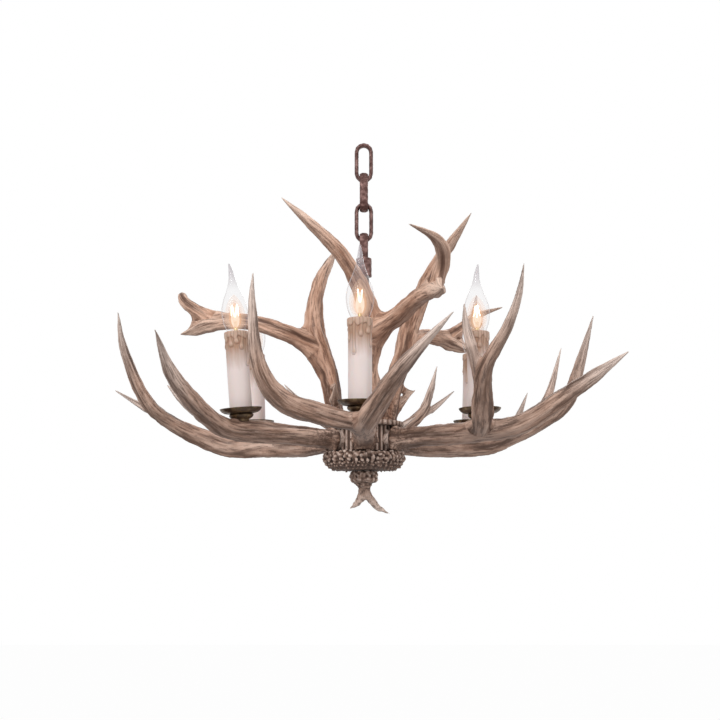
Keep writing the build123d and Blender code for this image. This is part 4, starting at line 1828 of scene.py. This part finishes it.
    def wire(self, name: str, points: list[Point], radius: float) -> bpy.types.Object:
        """A thin round wire through points in candle coordinates, kept as a mesh.

        Args:
            name: The object's name.
            points: The wire's points.
            radius: Its radius.

        Returns:
            The wire.
        """
        places = self.place(np.array(points))
        curve = bpy.data.curves.new(name + "_line", "CURVE")
        curve.dimensions = "3D"
        curve.bevel_depth = radius
        curve.bevel_resolution = 2
        curve.use_fill_caps = True
        line = curve.splines.new("POLY")
        line.points.add(len(places) - 1)
        for point, place in zip(line.points, places):
            point.co = (*place, 1.0)
        shown = add_object(name + "_line", curve)
        mesh = evaluated_mesh(shown)
        bpy.data.objects.remove(shown)
        mesh.shade_smooth()
        return add_object(name, mesh)

    def filament(self, hot: bpy.types.Material, brass: bpy.types.Material) -> None:
        """Build the two support wires and the looped filament strung between them.

        Args:
            hot: Finish of the filament.
            brass: Finish of the wires.
        """
        post, reach = self.cap_top + 0.0160, 0.0046
        for side, word in ((-1, "left"), (1, "right")):
            points = [(side * 0.0009, 0.0, post - 0.005), (side * 0.0030, 0.0, post + 0.003),
                      (side * reach, 0.0, post + 0.006)]
            leg = self.wire(f"support_{self.name}_{word}", points, self.support_radius)
            dress(leg, brass, self.bulb, Slot.BRASS)
        points = []
        steps, loops = 160, 4
        for k in range(steps + 1):
            t = k / steps
            swing = math.cos(loops * math.pi * t)
            z = post + 0.0135 - 0.0075 * swing * (1.0 - 0.25 * abs(2 * t - 1))
            points.append((-reach + 2 * reach * t, 0.0024 * math.sin(2 * math.pi * t), z))
        dress(self.wire("filament_" + self.name, points, self.filament_radius), hot, self.bulb, Slot.BRASS)

    def glow(self, shells: list[tuple[float, float, float, bpy.types.Material]]) -> None:
        """Build the soft layers of light about the filament, one inside the other.

        Args:
            shells: Radius, foot and height over the cap, and finish of each layer.
        """
        for index, (radius, foot, height, veil) in enumerate(shells):
            flame = []
            for t in np.linspace(0, 1, 17):
                bulge = math.sin(math.pi * t ** 0.8) ** 0.7
                flame.append((max(radius * bulge, 0.0002), self.cap_top + foot + height * t))
            closed = [(0.0001, flame[0][1] - 0.0002)] + flame + [(0.0001, flame[-1][1] + 0.0002)]
            layer = self.spun(f"glow_{self.name}_{index + 1}", closed, 32)
            dress(layer, veil, self.bulb, Slot.BRASS)


@dataclass
class CandleSet:
    """The six candles: each arm's shift outward and aside, in mm, and lean in degrees."""

    stands: dict[Arm, tuple[float, float, float]] = field(default_factory=lambda: {
        Arm.FRONT: (0, -5, 2.0), Arm.FRONT_RIGHT: (-6, -5, -1.0), Arm.BACK_RIGHT: (0, 0, 2.5),
        Arm.BACK: (0, 0, 2.5), Arm.BACK_LEFT: (0, 0, 2.5), Arm.FRONT_LEFT: (0, 0, 5.0)})
    shells: tuple[tuple[float, float, float, str], ...] = (
        (0.0122, 0.003, 0.046, "halo"), (0.0098, 0.005, 0.038, "halo"), (0.0074, 0.007, 0.032, "warm"),
        (0.0050, 0.008, 0.026, "core"))

    def build(self, finishes: dict[str, bpy.types.Material]) -> None:
        """Build every candle.

        Args:
            finishes: Materials by their short names.
        """
        shells = [(radius, foot, height, finishes[name]) for radius, foot, height, name in self.shells]
        for seed, (arm, stand) in enumerate(self.stands.items(), 21):
            candle = Candle(arm, *stand, seed)
            candle.metalware(finishes["bronze"])
            candle.sleeve(finishes["wax"])
            candle.lamp_glass(finishes["glass"])
            candle.lamp_cap(finishes["brass"])
            candle.filament(finishes["hot"], finishes["brass"])
            candle.glow(shells)


# ------------------------------------------------------------------ chain and metal
@dataclass
class Chain:
    """The hammered links and the loop that carries the stem."""

    voxel: float = 0.00055
    dent: float = 0.0006
    links: dict[str, Body] = field(default_factory=lambda: {
        "chain_link_top": Body.TOP_LINK, "chain_link_middle": Body.MIDDLE_LINK,
        "chain_link_lower": Body.LOWER_LINK, "hanging_loop": Body.FIXTURE})

    def build(self, hub: Hub, iron: bpy.types.Material) -> None:
        """Build each link as a softened, slightly dented copy of its node.

        Args:
            hub: Gives the way to soften a node.
            iron: The links' finish.
        """
        for index, (node, body) in enumerate(self.links.items()):
            piece = hub.from_node(node, self.voxel, 6)
            places = coords(piece)
            wave = (np.sin(places[:, 2] * 700 + index) * np.sin(places[:, 0] * 520 + 2 * index)
                    * np.sin(places[:, 1] * 610 + 1.3))
            set_coords(piece, places - normals(piece) * (self.dent * np.clip(wave, 0, 1))[:, None])
            keep_in_box(piece, node)
            dress(piece, iron, body, Slot.IRON, node)


def finish_plain_nodes(finishes: dict[str, bpy.types.Material]) -> None:
    """Give each CAD node that stays its material by its record slot.

    Args:
        finishes: Materials by their short names.
    """
    by_slot = {Slot.HOLDER: "holder", Slot.RUBBER: "rubber", Slot.PLATE: "zinc", Slot.STEEL: "zinc",
               Slot.ANTLER: "burr", Slot.IRON: "iron", Slot.BRONZE: "bronze", Slot.WAX: "wax",
               Slot.GLASS: "glass", Slot.BRASS: "brass"}
    slots = {part["node"]: part["material_slot"] for part in FRAME["record"]["subparts"]}
    for node, piece in FRAME["nodes"].items():
        material = finishes[by_slot[slots[node]]]
        piece.data.materials.clear()
        piece.data.materials.append(material)


# ------------------------------------------------------------------ stage
@dataclass
class Stage:
    """Floor, backdrop, lights and the camera at the photograph's viewpoint."""

    eye: Point = (-0.005, -1.300, -0.481)
    pitch: float = 8.75
    lens: float = 52.0
    floor_height: float = -1.55
    white: Colour = (1.0, 1.0, 1.0)
    whiteness: float = 0.97
    daylight: Colour = (1.0, 0.985, 0.97)
    daylight_strength: float = 0.55
    floor_half: float = 8.0
    aim: Point = (0.0, 0.0, -0.30)

    def camera(self) -> None:
        """Place the camera."""
        lens = bpy.data.cameras.new("camera")
        lens.lens = self.lens
        lens.sensor_width = 36.0
        eye = add_object("camera", lens)
        eye.location = self.eye
        eye.rotation_euler = (math.radians(90 + self.pitch), 0.0, 0.0)
        bpy.context.scene.camera = eye

    def seen(self, tree: Tree) -> Socket:
        """Where the camera, a gloss or a glass looks straight at the stage.

        Args:
            tree: A material's or the world's node tree.

        Returns:
            A socket that is 1 for those rays and 0 for the rest.
        """
        path = tree.nodes.new("ShaderNodeLightPath")
        either = calculated(tree, "MAXIMUM", path.outputs["Is Camera Ray"], path.outputs["Is Glossy Ray"])
        return calculated(tree, "MAXIMUM", either, path.outputs["Is Transmission Ray"])

    def blended(self, tree: Tree, factor: Socket, first: Socket, second: Socket) -> None:
        """Send a mix of two shaders to a tree's output.

        Args:
            tree: A material's or the world's node tree.
            factor: The share of the second shader.
            first: A shader socket.
            second: A shader socket.
        """
        mix = tree.nodes.new("ShaderNodeMixShader")
        output = next(node for node in tree.nodes if node.type.startswith("OUTPUT"))
        for target, value in zip(mix.inputs, (factor, first, second)):
            tree.links.new(value, target)
        tree.links.new(mix.outputs[0], output.inputs["Surface"])

    def white_to_rays(self, material: bpy.types.Material) -> None:
        """Make a stage material white to the camera, to gloss and through glass.

        Args:
            material: The stage material, a principled surface.
        """
        tree = material.node_tree
        surface = next(node for node in tree.nodes if node.type == "BSDF_PRINCIPLED")
        shine = tree.nodes.new("ShaderNodeEmission")
        feed(tree, shine.inputs["Color"], self.white)
        share = calculated(tree, "MULTIPLY", self.seen(tree), self.whiteness)
        self.blended(tree, share, surface.outputs[0], shine.outputs[0])

    def floor(self) -> None:
        """Lay the pale floor below the hanging piece."""
        half, low = self.floor_half, self.floor_height
        corners = np.array([(-half, -half, low), (half, -half, low), (half, half, low), (-half, half, low)])
        plane = make_mesh("floor", corners, [(0, 1, 2, 3)])
        pale = PlainFinish("floor_pale", (0.86, 0.86, 0.86), 0.8).make()
        self.white_to_rays(pale)
        plane.data.materials.append(pale)

    def world(self) -> None:
        """A soft, even surround that the camera, gloss and glass see as white."""
        world = bpy.data.worlds.new("surround")
        bpy.context.scene.world = world
        world.use_nodes = True
        tree = world.node_tree
        tree.nodes.clear()
        tree.nodes.new("ShaderNodeOutputWorld")
        soft, white = tree.nodes.new("ShaderNodeBackground"), tree.nodes.new("ShaderNodeBackground")
        feed(tree, soft.inputs["Color"], self.daylight)
        soft.inputs["Strength"].default_value = self.daylight_strength
        feed(tree, white.inputs["Color"], self.white)
        self.blended(tree, self.seen(tree), soft.outputs[0], white.outputs[0])

    def lamp(self, name: str, place: Point, power: float, size: float) -> None:
        """Hang a soft square lamp that faces the chandelier's middle.

        Args:
            name: The lamp's name.
            place: Where it is.
            power: Its power in watts.
            size: The side of its square.
        """
        light = bpy.data.lights.new(name, "AREA")
        light.energy = power
        light.size = size
        lamp = add_object(name, light)
        lamp.location = place
        toward = np.array(self.aim) - np.array(place)
        toward /= np.linalg.norm(toward)
        lamp.rotation_euler = (math.acos(-toward[2]), 0.0, math.atan2(-toward[0], toward[1]))

    def build(self) -> None:
        """Set the whole stage."""
        self.camera()
        self.floor()
        self.world()
        self.lamp("key", (-1.1, -1.7, 0.9), 30.0, 1.2)
        self.lamp("fill", (1.6, -1.4, 0.1), 12.0, 1.4)
        self.lamp("rim", (0.4, 1.8, 0.9), 14.0, 1.2)
        bpy.context.scene.view_settings.view_transform = "Standard"


def all_finishes() -> dict[str, bpy.types.Material]:
    """Build every finish once.

    Returns:
        The materials by their short names.
    """
    finishes = [
        MetalFinish("iron", (0.085, 0.036, 0.030), (0.24, 0.135, 0.12), 0.45, 0.5),
        MetalFinish("bronze", (0.060, 0.036, 0.020), (0.17, 0.110, 0.055), 0.6, 0.42, 0.0002),
        MetalFinish("brass", (0.55, 0.42, 0.20), (0.75, 0.62, 0.38), 0.9, 0.3, 0.0001),
        MetalFinish("zinc", (0.12, 0.095, 0.08), (0.21, 0.17, 0.15), 0.8, 0.45, 0.0001),
        PlainFinish("holder", (0.62, 0.56, 0.48), 0.5),
        PlainFinish("rubber", (0.02, 0.018, 0.016), 0.75),
        GlowShell("halo", (1.0, 0.66, 0.46), 1.0, 0.13),
        GlowShell("warm", (1.0, 0.50, 0.24), 1.1, 0.24),
        GlowShell("core", (1.0, 0.92, 0.80), 1.5, 0.42),
        GlowFinish("hot", (1.0, 0.86, 0.66), 5.0),
        AntlerFinish("upper_antler", (0.090, 0.041, 0.025), (0.31, 0.155, 0.096), (0.60, 0.355, 0.25),
                     (0.76, 0.51, 0.39), (0.80, 0.60, 0.49)),
        AntlerFinish(), KnobbedFinish(), WaxFinish(), GlassFinish()]
    return {finish.name: finish.make() for finish in finishes}


def main() -> None:
    """Build the pieces in order, from the antlers to the stage, and note the sizes."""
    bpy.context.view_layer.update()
    finishes = all_finishes()
    finish_plain_nodes(finishes)
    AntlerSet().build(finishes["antler"], finishes["upper_antler"])
    hub = Hub()
    hub.build(finishes["burr"])
    CandleSet().build(finishes)
    Chain().build(hub, finishes["iron"])
    Stage().build()


if __name__ == "__main__":
    logging.basicConfig(level=logging.INFO, format="%(message)s")
    main()
